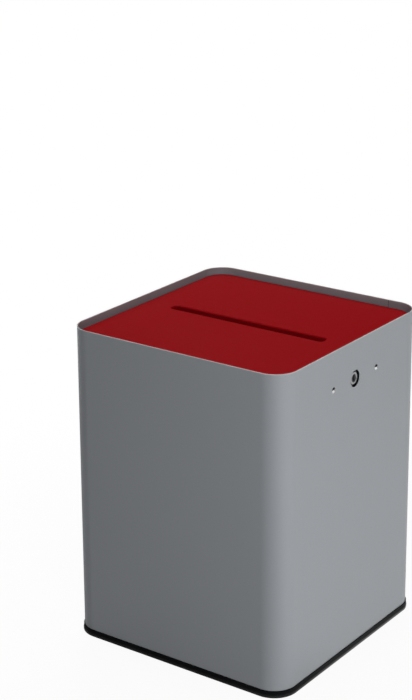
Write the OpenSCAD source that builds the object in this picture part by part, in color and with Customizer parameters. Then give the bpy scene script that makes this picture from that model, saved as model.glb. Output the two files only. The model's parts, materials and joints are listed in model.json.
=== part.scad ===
// Secure console for papers that wait to be shredded.
// A square sheet steel casing on a rubber edge trim holds a lift-out container. The slotted lid
// lies below the casing's rim and lifts off once the cam lock in the +X wall is turned back.
// Millimetres, +Z up, origin on the floor below the middle of the casing, slot along X.

/* [Casing] */
// Width of the console along X, over the edge trim
overall_w = 350; // [340:5:380]
// Depth of the console along Y, over the edge trim
overall_d = 350; // [340:5:380]
// Height of the rim above the floor
overall_h = 450; // [420:5:520]
// Outer radius of the casing's upright corners
corner_r = 33; // [26:1:38]
// Thickness of the casing sheet
sheet_t = 1.2; // [1:0.1:1.5]
// Opening of the butt seam in the +Y wall
seam_gap = 0.6; // [0.2:0.1:0.8]
// Distance of the butt seam from the casing's +X face
seam_inset = 52; // [50:1:70]
// Width of the strip that backs the seam
seam_strip_w = 24; // [16:1:28]

/* [Edge trim] */
// Height of the edge trim's outer lip above the floor
trim_h = 10.5; // [9:0.5:13]
// How far the lower bead of the trim stands out from the casing
trim_bead = 2; // [1.6:0.1:2.6]
// How far the upper lip of the trim stands out from the casing
trim_lip = 1.3; // [1:0.1:1.5]
// Height of the lower bead
trim_bead_h = 5.2; // [4.5:0.1:6]
// Rounding of the lower bead
trim_round = 1.5; // [1:0.1:1.6]
// Rubber below the casing's lower edge
trim_floor = 2; // [1.5:0.5:3]
// Thickness of the trim's inner leg
trim_leg_t = 1.6; // [1.2:0.2:2.4]
// Height of the trim's inner leg above the floor
trim_leg_h = 8.4; // [7:0.2:8.8]

/* [Base tray] */
// Height of the tray's underside above the floor
tray_z = 9; // [9:0.5:12]
// Thickness of the tray
tray_t = 1.2; // [1:0.1:1.5]
// Height of the tray's upturned edge
tray_edge_h = 14; // [10:1:20]
// Outer bend radius of every pressed edge
bend_r = 2; // [1.8:0.1:2.4]

/* [Lid] */
// Depth of the lid's face below the rim
lid_recess = 9.5; // [8:0.5:16]
// Gap between the lid and the casing, all round
lid_gap = 2.5; // [1.2:0.1:2.6]
// Thickness of the lid
lid_t = 1.2; // [1:0.1:1.5]
// Height of the lid's turned-down skirt
skirt_h = 14; // [12:1:20]
// Length of the paper slot
slot_l = 250; // [220:5:250]
// Width of the paper slot
slot_w = 15; // [13:1:24]
// Corner radius of the paper slot
slot_r = 5; // [3:0.5:6]
// Depth of the slot's turned-down lips, from the lid's face
slot_lip_h = 9; // [6:1:12]
// Depth of the lid's stiffening channels
stiffener_h = 9; // [6:1:10]
// Width of the stiffening channels
stiffener_w = 22; // [16:1:30]
// Length of the stiffening channels
stiffener_l = 260; // [200:5:270]
// Distance of the stiffening channels from the slot's centre line
stiffener_y = 75; // [60:1:110]
// Thickness of the stiffening channels
stiffener_t = 1; // [0.8:0.1:1.5]
// Thickness of the rubber buffers that the lid rests on
buffer_t = 3; // [2:0.5:4]
// Side of the square rubber buffers
buffer_side = 12; // [8:1:13]

/* [Lock] */
// Depth of the lock's centre below the rim
lock_drop = 53; // [48:1:60]
// Diameter of the key hole through the casing
key_hole_d = 23; // [23:0.5:25]
// Depth of the lock's face behind the casing's outer face
lock_recess = 2; // [0.6:0.2:2.4]
// Diameter of the lock's nose, which stands in the key hole
nose_d = 17.6; // [16:0.2:18]
// Length of the lock's nose in front of its head
nose_l = 2; // [1.8:0.2:4]
// Diameter of the lock's head
head_d = 22; // [20.5:0.5:22]
// Thickness of the lock's head
head_t = 2; // [1.6:0.2:2.4]
// Diameter of the lock's threaded barrel
barrel_d = 18.5; // [17.5:0.5:19]
// Distance across the barrel's two flats
barrel_flats = 16; // [15:0.5:16.5]
// Length of the barrel behind the head
barrel_l = 16; // [14:1:18]
// Diameter of the plug that the key turns
plug_d = 10.4; // [10:0.2:11]
// Depth of the plug's face behind the lock's face
plug_recess = 0.6; // [0.4:0.2:1]
// Width of the keyway
keyway_w = 2.4; // [2:0.2:3]
// Height of the keyway
keyway_h = 7.6; // [6:0.2:8.4]
// Depth of the keyway
keyway_depth = 11; // [8:1:12]
// Radius of the cam from the lock's axis to its tip
cam_l = 34; // [32:1:36]
// Width of the cam
cam_w = 16; // [14:1:18]
// Thickness of the cam
cam_t = 2; // [1.5:0.1:2.5]
// Side of the square on the plug that drives the cam
tang_side = 7; // [6:0.5:7]
// Thickness of the lock nut
nut_t = 4; // [3:0.5:5]
// Distance across the flats of the lock nut
nut_af = 24; // [22:0.5:25]
// Thickness of the lock washer
washer_t = 1; // [0.8:0.1:1.2]

/* [Brackets] */
// Thickness of the lock bracket, the rear ledge and the catch
bracket_t = 1.5; // [1.2:0.1:2]
// Distance of each bracket rivet from the middle of the wall
rivet_y = 53.5; // [51:0.5:60]
// Width of each foot of the lock bracket
foot_w = 18; // [14:1:18]
// Half the width of the raised middle of the lock bracket
web_half = 40; // [40:1:41]
// Depth of the bracket below the lock's centre
bracket_drop = 22; // [18:1:26]
// Reach of the ledges that carry the buffers
ledge_l = 15; // [14:1:16]
// Diameter of the rivets' domed heads
rivet_head_d = 8; // [7:0.5:9]
// Height of the rivets' domed heads
rivet_head_h = 2; // [1.6:0.1:2.4]
// Diameter of the rivets' shanks
rivet_d = 4; // [3.2:0.2:4.8]
// Distance of the catch from the lock's axis
catch_y = 14; // [13.5:0.5:16]
// Width of the catch
catch_w = 24; // [20:1:25]
// Length of the flange that joins the catch to the lid
catch_flange = 16; // [12:1:20]

/* [Container] */
// Gap between the container and the casing's X walls, which leaves room for the lock
liner_gap_x = 33.8; // [32.8:1:42.8]
// Gap between the container and the casing's Y walls
liner_gap_y = 11.8; // [9.8:1:21.8]
// Corner radius of the container
liner_r = 22; // [16:1:30]
// Thickness of the container's sheet
liner_t = 0.8; // [0.7:0.1:1]
// Distance of the container's rim below the lock's centre
liner_drop = 17; // [16:1:40]
// Radius of the container's rolled rim
bead_r = 3; // [2.5:0.1:3.2]
// Gap between the container and its guides
guide_gap = 1; // [0.5:0.1:2]
// Length of each guide
guide_l = 60; // [40:5:90]
// Height of each guide
guide_h = 16; // [10:1:24]
// Foot of each guide
guide_foot = 8; // [5:0.5:8]
// Thickness of the guides
guide_t = 1.2; // [1:0.1:1.5]

/* [Handles] */
// Diameter of the handle wire
wire_d = 5; // [4:0.5:6]
// Width of the handles between the middles of their legs
handle_w = 104; // [90:2:130]
// Length of the handles from pivot to grip
handle_l = 42; // [36:1:42]
// Bend radius of the handles, at the middle of the wire
handle_bend = 10; // [8:1:14]
// Depth of the handles' pivots below the container's rim
handle_drop = 18; // [16:1:24]
// Length of the handles' pivots beyond their legs
pivot_l = 16; // [14:1:20]
// Sheet thickness of the handle clips
clip_t = 1.2; // [1:0.1:1.5]
// Length of each clip along the pivot
clip_l = 12; // [10:1:12]
// Height of each clip's plate below the pivot
clip_h = 24; // [20:1:30]
// Diameter of the clips' rivets
clip_rivet_d = 3.2; // [2.4:0.2:4]

/* [Hidden] */
$fn = 64;
run_gap = 0.05;          // radial clearance of a turning fit
seat_gap = 0.3;          // clearance between faces of two bodies
cut = 1;                 // how far a cutting solid runs past its work
casing_w = overall_w - 2 * trim_bead;
casing_d = overall_d - 2 * trim_bead;
wall_x = casing_w / 2 - sheet_t;              // inner face of the +X wall
wall_y = casing_d / 2 - sheet_t;              // inner face of the +Y wall
inner_r = corner_r - sheet_t;
seam_x = casing_w / 2 - seam_inset;
tray_top = tray_z + tray_t;

lid_z = overall_h - lid_recess;               // upper face of the lid
lid_under = lid_z - lid_t;
lid_w = 2 * (wall_x - lid_gap);
lid_d = 2 * (wall_y - lid_gap);
lid_r = inner_r - lid_gap;
skirt_z = lid_z - skirt_h;                    // lower edge of the lid's skirt
ledge_z = skirt_z - buffer_t;                 // upper face of the ledges

lock_z = overall_h - lock_drop;
face_x = casing_w / 2 - lock_recess;          // outer face of the lock's nose
head_x = face_x - nose_l;                     // outer face of the lock's head
web_x = head_x - head_t;                      // outer face of the bracket's raised middle
barrel_x = web_x - barrel_l;                  // inner end of the barrel
cam_x = barrel_x - seat_gap - cam_t;          // inner face of the cam
cam_washer_t = 1;
cam_washer_d = 12;
screw_head_t = 3;
screw_head_af = 8;
screw_d = 5;
screw_l = 5;
foot_in = rivet_y - foot_w / 2;               // inner edge of a bracket's foot
foot_out = rivet_y + foot_w / 2;
web_in = web_x - bracket_t;
bracket_z = lock_z - bracket_drop;
catch_gap = 1.2;                              // between the cam and the catch's upright
catch_x = cam_x - catch_gap - bracket_t;      // inner face of the catch's upright
lip_z = lock_z - cam_w / 2 - seat_gap;        // upper face of the catch's lip
lip_reach = 3;                                // how far the lip runs past the cam
lip_x = cam_x + cam_t + lip_reach;

liner_w = 2 * (wall_x - liner_gap_x);         // container, without its rim
liner_d = 2 * (wall_y - liner_gap_y);
liner_top = lock_z - liner_drop;
bead_z = liner_top - bead_r;                  // centre of the rolled rim
bead_out = bead_r - liner_t;                  // rim's centre beyond the container's outer face
rim_wire_d = 2 * (bead_r - liner_t - run_gap);
liner_bend = 4;
wire_r = wire_d / 2;
knuckle_r = wire_r + run_gap + clip_t;
pivot_z = liner_top - handle_drop;
pivot_y = liner_d / 2 - liner_t - knuckle_r;
clip_x = handle_w / 2 + wire_r + 1;           // inner end of a clip
clip_rivet_pitch = clip_h / 2;
stub_end = handle_w / 2 + pivot_l;

paint = "silver";
zinc = "lightgray";
plated = "gainsboro";
black = "dimgray";
red = "firebrick";

// ---- shared shapes ----

// Rectangle with round corners, centred
module rounded_rect(w, d, r) {
    square([w - 2 * r, d], center = true);
    square([w, d - 2 * r], center = true);
    for (x = [-1, 1], y = [-1, 1]) {
        translate([x * (w / 2 - r), y * (d / 2 - r)]) circle(r);
    }
}

// Sweeps a profile round a rectangle with round corners. In the profile, x = 0 is the outline,
// +x points outwards and y is the height.
module swept_ring(w, d, r) {
    for (i = [0:3]) {
        along = i % 2 == 0 ? d : w;
        across = i % 2 == 0 ? w : d;
        rotate([0, 0, 90 * i]) {
            translate([across / 2, 0, 0]) rotate([90, 0, 0])
                linear_extrude(along - 2 * r, center = true) children();
            translate([across / 2 - r, along / 2 - r, 0])
                rotate_extrude(angle = 90) translate([r, 0]) children();
        }
    }
}

// Profile of a pressed edge: a bend from the floor into a wall whose outer face is x = 0
module pressed_edge(t, bend, wall) {
    translate([-t, bend]) square([t, wall - bend]);
    intersection() {
        translate([-bend, bend]) difference() {
            circle(bend);
            circle(bend - t);
        }
        translate([-bend, 0]) square(bend);
    }
}

// Pressed tray: floor's underside at z = 0, walls up to z = wall
module pressed_tray(w, d, r, t, bend, wall) {
    linear_extrude(t) rounded_rect(w - 2 * bend, d - 2 * bend, r - bend);
    swept_ring(w, d, r) pressed_edge(t, bend, wall);
}

// Puts a shape drawn along +Z onto the lock's axis, starting at x
module on_lock_axis(x) {
    translate([x, 0, lock_z]) rotate([0, 90, 0]) children();
}

// Round bar that keeps two flats, across its own X axis
module flatted_bar(d, flats, h) {
    intersection() {
        cylinder(d = d, h = h);
        translate([-flats / 2, -d, -cut]) cube([flats, 2 * d, h + 2 * cut]);
    }
}

// Blind rivet along +Z: domed head above z = 0, shank through the work, set end below it
module blind_rivet(work) {
    sphere_r = (pow(rivet_head_d / 2, 2) + pow(rivet_head_h, 2)) / (2 * rivet_head_h);
    difference() {
        union() {
            intersection() {
                translate([0, 0, rivet_head_h - sphere_r]) sphere(sphere_r);
                cylinder(d = rivet_head_d, h = rivet_head_h);
            }
            translate([0, 0, -work]) cylinder(d = rivet_d, h = work);
            translate([0, 0, -work - rivet_d]) cylinder(d1 = rivet_d, d2 = 1.6 * rivet_d, h = rivet_d);
        }
        translate([0, 0, rivet_head_h / 2]) cylinder(d = rivet_d / 2, h = rivet_head_h);
    }
}

// The two rivets of a wall: side is 1 for the +X wall, -1 for the -X wall
module wall_rivets(side) {
    for (y = [-rivet_y, rivet_y]) {
        translate([side * casing_w / 2, y, lock_z]) rotate([0, side * 90, 0])
            blind_rivet(sheet_t + bracket_t);
    }
}

// Round holes through the X walls at the rivets' places
module wall_rivet_holes() {
    for (y = [-rivet_y, rivet_y]) {
        translate([0, y, lock_z]) rotate([0, 90, 0])
            cylinder(d = rivet_d + 2 * run_gap, h = casing_w + 2 * cut, center = true);
    }
}

// ---- casing ----

module body_shell() {
    color(paint) difference() {
        translate([0, 0, trim_floor]) linear_extrude(overall_h - trim_floor) difference() {
            rounded_rect(casing_w, casing_d, corner_r);
            rounded_rect(2 * wall_x, 2 * wall_y, inner_r);
        }
        translate([seam_x - seam_gap / 2, wall_y - cut, 0])
            cube([seam_gap, sheet_t + 2 * cut, overall_h + cut]);
        on_lock_axis(wall_x - cut) cylinder(d = key_hole_d, h = sheet_t + 2 * cut);
        wall_rivet_holes();
    }
}

module seam_strip() {
    strip_z = tray_z + tray_edge_h + cut;
    color(paint) translate([seam_x - seam_strip_w / 2, wall_y - sheet_t, strip_z])
        cube([seam_strip_w, sheet_t, ledge_z - strip_z]);
}

module base_tray() {
    color(zinc) translate([0, 0, tray_z])
        pressed_tray(2 * wall_x, 2 * wall_y, inner_r, tray_t, bend_r, tray_edge_h);
}

module trim_profile() {
    back = sheet_t + trim_leg_t;
    translate([-back, 0]) square([back + trim_bead - trim_round, trim_floor]);
    translate([0, 0]) square([trim_bead - trim_round, trim_bead_h]);
    translate([0, trim_round]) square([trim_bead, trim_bead_h - 2 * trim_round]);
    for (z = [trim_round, trim_bead_h - trim_round]) {
        intersection() {
            translate([trim_bead - trim_round, z]) circle(trim_round);
            square([trim_bead, trim_bead_h]);
        }
    }
    square([trim_lip, trim_h - trim_lip / 2]);
    intersection() {
        translate([trim_lip / 2, trim_h - trim_lip / 2]) circle(trim_lip / 2);
        square([trim_lip, trim_h]);
    }
    translate([-back, 0]) square([trim_leg_t, trim_leg_h]);
}

module edge_trim() {
    color(black) swept_ring(casing_w, casing_d, corner_r) trim_profile();
}

// One guide: the container stands on its +X side, its upright's face at x = 0
module guide_angle() {
    translate([0, -guide_l / 2, 0]) {
        cube([guide_t, guide_l, guide_h]);
        cube([guide_foot, guide_l, guide_t]);
    }
}

module liner_guides() {
    color(zinc) for (i = [0:3]) {
        reach = (i % 2 == 0 ? liner_w : liner_d) / 2 + guide_gap;
        rotate([0, 0, 90 * i]) translate([reach, 0, tray_top]) guide_angle();
    }
}

// Plan of one half of the lock bracket, for y > 0: raised middle, joggle and foot
module bracket_half_plan() {
    foot_x = wall_x - bracket_t;
    polygon([
        [web_in, 0], [web_x, 0], [web_x, web_half], [wall_x, foot_in], [wall_x, foot_out],
        [foot_x, foot_out], [foot_x, foot_in + bracket_t], [web_in, web_half + bracket_t],
    ]);
}

module lock_bracket() {
    color(plated) difference() {
        union() {
            for (s = [0, 1]) {
                mirror([0, s, 0]) {
                    translate([0, 0, bracket_z]) linear_extrude(ledge_z - bracket_z) bracket_half_plan();
                    translate([wall_x - ledge_l, foot_in + bracket_t, ledge_z - bracket_t])
                        cube([ledge_l, foot_w - bracket_t, bracket_t]);
                }
            }
        }
        on_lock_axis(web_in - cut)
            flatted_bar(barrel_d + 2 * run_gap, barrel_flats + 2 * run_gap, bracket_t + 2 * cut);
        wall_rivet_holes();
    }
}

module bracket_rivets() {
    color(plated) wall_rivets(1);
}

module rear_ledge() {
    ledge_drop = 12;
    color(plated) difference() {
        translate([-wall_x, -foot_out, 0]) {
            translate([0, 0, lock_z - ledge_drop])
                cube([bracket_t, 2 * foot_out, ledge_z - lock_z + ledge_drop]);
            translate([0, 0, ledge_z - bracket_t]) cube([ledge_l, 2 * foot_out, bracket_t]);
        }
        wall_rivet_holes();
    }
}

module ledge_rivets() {
    color(plated) wall_rivets(-1);
}

module lid_buffers() {
    color(black) for (x = [-1, 1], y = [-1, 1]) {
        translate([x * (wall_x - lid_gap / 2 - buffer_side / 2), y * rivet_y, ledge_z])
            linear_extrude(buffer_t) rounded_rect(buffer_side, buffer_side, buffer_t);
    }
}

// ---- lock, fixed pieces ----

module lock_barrel() {
    color(plated) difference() {
        union() {
            on_lock_axis(head_x) cylinder(d = nose_d, h = nose_l);
            on_lock_axis(web_x) cylinder(d = head_d, h = head_t);
            on_lock_axis(barrel_x) flatted_bar(barrel_d, barrel_flats, barrel_l);
        }
        on_lock_axis(barrel_x - cut)
            cylinder(d = plug_d + 2 * run_gap, h = face_x - barrel_x + 2 * cut);
    }
}

module lock_washer() {
    color(plated) on_lock_axis(web_in - washer_t) difference() {
        cylinder(d = nut_af, h = washer_t);
        translate([0, 0, -cut]) cylinder(d = barrel_d + 2 * run_gap, h = washer_t + 2 * cut);
    }
}

module lock_nut() {
    color(plated) on_lock_axis(web_in - washer_t - nut_t) difference() {
        cylinder(d = nut_af / cos(30), h = nut_t, $fn = 6);
        translate([0, 0, -cut]) cylinder(d = barrel_d + 2 * run_gap, h = nut_t + 2 * cut);
    }
}

// ---- lid ----

module lid_panel() {
    slot_hole_r = slot_r + bend_r;
    color(red) {
        difference() {
            translate([0, 0, lid_z]) mirror([0, 0, 1])
                pressed_tray(lid_w, lid_d, lid_r, lid_t, bend_r, skirt_h);
            translate([0, 0, lid_under - cut]) linear_extrude(lid_t + 2 * cut)
                rounded_rect(slot_l + 2 * bend_r, slot_w + 2 * bend_r, slot_hole_r);
        }
        translate([0, 0, lid_z]) mirror([0, 0, 1]) swept_ring(slot_l, slot_w, slot_r)
            mirror([1, 0]) pressed_edge(lid_t, bend_r, slot_lip_h);
    }
}

module lid_stiffeners() {
    color(red) for (y = [-stiffener_y, stiffener_y]) {
        translate([-stiffener_l / 2, y, lid_under - stiffener_h]) rotate([90, 0, 90])
            linear_extrude(stiffener_l) difference() {
                translate([-stiffener_w / 2, 0]) square([stiffener_w, stiffener_h]);
                translate([-stiffener_w / 2 + stiffener_t, stiffener_t])
                    square([stiffener_w - 2 * stiffener_t, stiffener_h]);
            }
    }
}

module catch_plate() {
    color(plated) translate([catch_x, catch_y, 0]) {
        translate([0, 0, lip_z - bracket_t]) cube([bracket_t, catch_w, lid_under - lip_z + bracket_t]);
        translate([0, 0, lip_z - bracket_t]) cube([lip_x - catch_x, catch_w, bracket_t]);
        translate([bracket_t - catch_flange, 0, lid_under - bracket_t])
            cube([catch_flange, catch_w, bracket_t]);
    }
}

// ---- lock, turning pieces ----

module lock_plug() {
    plug_x = cam_x + cam_t;
    face = face_x - plug_recess;
    color(plated) difference() {
        union() {
            on_lock_axis(plug_x) cylinder(d = plug_d, h = face - plug_x);
            translate([cam_x, -tang_side / 2, lock_z - tang_side / 2])
                cube([cam_t, tang_side, tang_side]);
        }
        translate([face - keyway_depth, -keyway_w / 2, lock_z - keyway_h / 2])
            cube([keyway_depth + cut, keyway_w, keyway_h]);
        on_lock_axis(cam_x - cut) cylinder(d = screw_d + 2 * run_gap, h = screw_l + cut);
    }
}

module lock_cam() {
    hub_d = cam_w + 2;
    tip_r = cam_w / 4;
    hole = tang_side + 2 * run_gap;
    color(plated) difference() {
        union() {
            on_lock_axis(cam_x) cylinder(d = hub_d, h = cam_t);
            translate([cam_x, -cam_w / 2, lock_z]) cube([cam_t, cam_w, cam_l - tip_r]);
            translate([cam_x, -cam_w / 2 + tip_r, lock_z]) cube([cam_t, cam_w - 2 * tip_r, cam_l]);
            for (y = [-1, 1]) {
                translate([cam_x, y * (cam_w / 2 - tip_r), lock_z + cam_l - tip_r])
                    rotate([0, 90, 0]) cylinder(r = tip_r, h = cam_t);
            }
        }
        translate([cam_x - cut, -hole / 2, lock_z - hole / 2]) cube([cam_t + 2 * cut, hole, hole]);
    }
}

module cam_washer() {
    color(plated) on_lock_axis(cam_x - cam_washer_t) difference() {
        cylinder(d = cam_washer_d, h = cam_washer_t);
        translate([0, 0, -cut]) cylinder(d = screw_d + 2 * run_gap, h = cam_washer_t + 2 * cut);
    }
}

module cam_screw() {
    screw_x = cam_x - cam_washer_t - screw_head_t;
    color(plated) {
        on_lock_axis(screw_x) cylinder(d = screw_head_af / cos(30), h = screw_head_t, $fn = 6);
        on_lock_axis(screw_x + screw_head_t) cylinder(d = screw_d, h = screw_l);
    }
}

// ---- container ----

module liner_shell() {
    color(zinc) difference() {
        union() {
            translate([0, 0, tray_top])
                pressed_tray(liner_w, liner_d, liner_r, liner_t, liner_bend, bead_z - tray_top);
            swept_ring(liner_w, liner_d, liner_r) translate([bead_out, bead_z]) difference() {
                circle(bead_r);
                circle(bead_r - liner_t);
            }
        }
        clip_rivet_holes();
    }
}

module rim_wire() {
    color(plated) swept_ring(liner_w, liner_d, liner_r)
        translate([bead_out, bead_z]) circle(d = rim_wire_d);
}

// Repeats its children at the four clips, drawn for the clip at +X on the +Y wall
module at_clips() {
    for (x = [0, 1], y = [0, 1]) {
        mirror([x, 0, 0]) mirror([0, y, 0]) children();
    }
}

// Repeats its children at the two rivets of a clip, with +Z pointing into the container
module at_clip_rivets() {
    for (i = [0, 1]) {
        translate([clip_x + clip_l / 2, liner_d / 2, pivot_z - knuckle_r - clip_rivet_pitch * (i + 0.3)])
            rotate([90, 0, 0]) children();
    }
}

module clip_rivet_holes() {
    at_clips() at_clip_rivets() translate([0, 0, -cut])
        cylinder(d = clip_rivet_d + 2 * run_gap, h = liner_t + clip_t + 2 * cut);
}

module handle_clips() {
    plate_y = liner_d / 2 - liner_t - clip_t;
    color(plated) difference() {
        at_clips() difference() {
            union() {
                translate([clip_x, pivot_y, pivot_z]) rotate([0, 90, 0]) cylinder(r = knuckle_r, h = clip_l);
                translate([clip_x, plate_y, pivot_z - clip_h - knuckle_r])
                    cube([clip_l, clip_t, clip_h + knuckle_r]);
            }
            translate([clip_x - cut, pivot_y, pivot_z]) rotate([0, 90, 0])
                cylinder(r = wire_r + run_gap, h = clip_l + 2 * cut);
        }
        clip_rivet_holes();
    }
}

module clip_rivets() {
    head = clip_rivet_d / 3;
    color(plated) at_clips() at_clip_rivets() {
        cylinder(d = clip_rivet_d, h = liner_t + clip_t);
        translate([0, 0, liner_t + clip_t]) cylinder(d1 = 2 * clip_rivet_d, d2 = clip_rivet_d, h = head);
        translate([0, 0, -head]) cylinder(d1 = clip_rivet_d, d2 = 2 * clip_rivet_d, h = head);
    }
}

// Half of a handle, for x > 0, hanging from a pivot at the origin, its wire in the XZ plane
module handle_half() {
    leg_x = handle_w / 2;
    grip_x = leg_x - handle_bend;
    stub_bend = wire_r + 1;
    translate([leg_x + stub_bend, 0, 0]) rotate([0, 90, 0])
        cylinder(r = wire_r, h = pivot_l - stub_bend);
    translate([leg_x + stub_bend, 0, -stub_bend]) rotate([90, 0, 0]) rotate([0, 0, 90])
        rotate_extrude(angle = 90) translate([stub_bend, 0]) circle(wire_r);
    translate([leg_x, 0, -handle_l + handle_bend])
        cylinder(r = wire_r, h = handle_l - handle_bend - stub_bend);
    translate([grip_x, 0, -handle_l + handle_bend]) rotate([90, 0, 0]) rotate([0, 0, -90])
        rotate_extrude(angle = 90) translate([handle_bend, 0]) circle(wire_r);
    translate([0, 0, -handle_l]) rotate([0, 90, 0]) cylinder(r = wire_r, h = grip_x);
}

module handle(side) {
    color(plated) translate([0, side * pivot_y, pivot_z]) for (s = [0, 1]) {
        mirror([s, 0, 0]) handle_half();
    }
}

module front_handle() {
    handle(-1);
}

module back_handle() {
    handle(1);
}

body_shell();
seam_strip();
base_tray();
edge_trim();
liner_guides();
lock_bracket();
bracket_rivets();
rear_ledge();
ledge_rivets();
lid_buffers();
lock_barrel();
lock_washer();
lock_nut();
lid_panel();
lid_stiffeners();
catch_plate();
lock_plug();
lock_cam();
cam_washer();
cam_screw();
liner_shell();
rim_wire();
handle_clips();
clip_rivets();
front_handle();
back_handle();
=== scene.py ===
"""Secure console for papers that wait to be shredded: the dressed model.

A square sheet steel casing stands on a rubber edge trim. Its slotted red lid lies below the rim
and lifts off once the lock is turned back. A galvanised container with two wire handles lifts out.
Shapes are given in millimetres and turned into metres when a mesh is made. Finishes and the studio
are given in metres.
"""
import json
import logging
import math
from dataclasses import dataclass, field
from enum import Enum
from functools import cached_property
from typing import Callable, Iterable, Sequence

import bmesh
import bpy
from mathutils import Matrix, Vector

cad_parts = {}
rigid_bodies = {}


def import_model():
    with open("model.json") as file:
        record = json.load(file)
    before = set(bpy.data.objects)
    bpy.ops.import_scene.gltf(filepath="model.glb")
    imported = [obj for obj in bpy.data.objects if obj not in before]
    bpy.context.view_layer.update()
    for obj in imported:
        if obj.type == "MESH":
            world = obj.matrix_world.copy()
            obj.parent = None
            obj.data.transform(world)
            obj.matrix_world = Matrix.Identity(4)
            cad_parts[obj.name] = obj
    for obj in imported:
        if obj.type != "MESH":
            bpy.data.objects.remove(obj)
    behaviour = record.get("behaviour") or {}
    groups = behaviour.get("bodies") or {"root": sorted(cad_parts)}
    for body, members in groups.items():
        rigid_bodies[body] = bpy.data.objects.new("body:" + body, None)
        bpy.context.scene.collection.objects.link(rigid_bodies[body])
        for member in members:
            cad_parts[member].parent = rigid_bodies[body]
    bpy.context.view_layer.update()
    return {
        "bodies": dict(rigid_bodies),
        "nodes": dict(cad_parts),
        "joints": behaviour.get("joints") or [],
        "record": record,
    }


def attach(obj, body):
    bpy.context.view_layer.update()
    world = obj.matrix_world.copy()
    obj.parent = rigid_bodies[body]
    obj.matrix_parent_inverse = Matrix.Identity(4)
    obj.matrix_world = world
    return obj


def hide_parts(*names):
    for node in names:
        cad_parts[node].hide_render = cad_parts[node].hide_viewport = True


LOG = logging.getLogger("console")
BMesh = bmesh.types.BMesh
Material = bpy.types.Material
Mesh = bpy.types.Mesh
Node = bpy.types.Node
Object = bpy.types.Object
Socket = bpy.types.NodeSocket
Sockets = bpy.types.bpy_prop_collection
Value = Socket | float
Tree = bpy.types.NodeTree
Triple = tuple[float, float, float]
Point2 = tuple[float, float]

MM = 0.001
SHEET = 1.2  # thickness of the casing's, the floor's and the lid's sheet
WALL = 173.0  # the walls' outer faces
WALL_MIDDLE = WALL - SHEET / 2
WALL_LINED = WALL - 2 * SHEET  # inner face of a sheet that lies against a wall
LOCK_Z = 397.0  # height of the lock's axis and of the wall rivets
RIVET_Y = 53.5  # the wall rivets and the lid's pads, either side of the lock
SIDES = (-1, 1)
CORNERS = tuple((x, y) for x in SIDES for y in SIDES)  # signs of X and Y
UP = (0.0, 0.0, 1.0)
EVEN = (1.0, 1.0, 1.0)
WHITE = (*EVEN, 1.0)
HARD_EDGE = 12.0  # degrees past the rounding's angle from which shading breaks


# ---------------------------------------------------------------- shared tools for node trees


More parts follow.
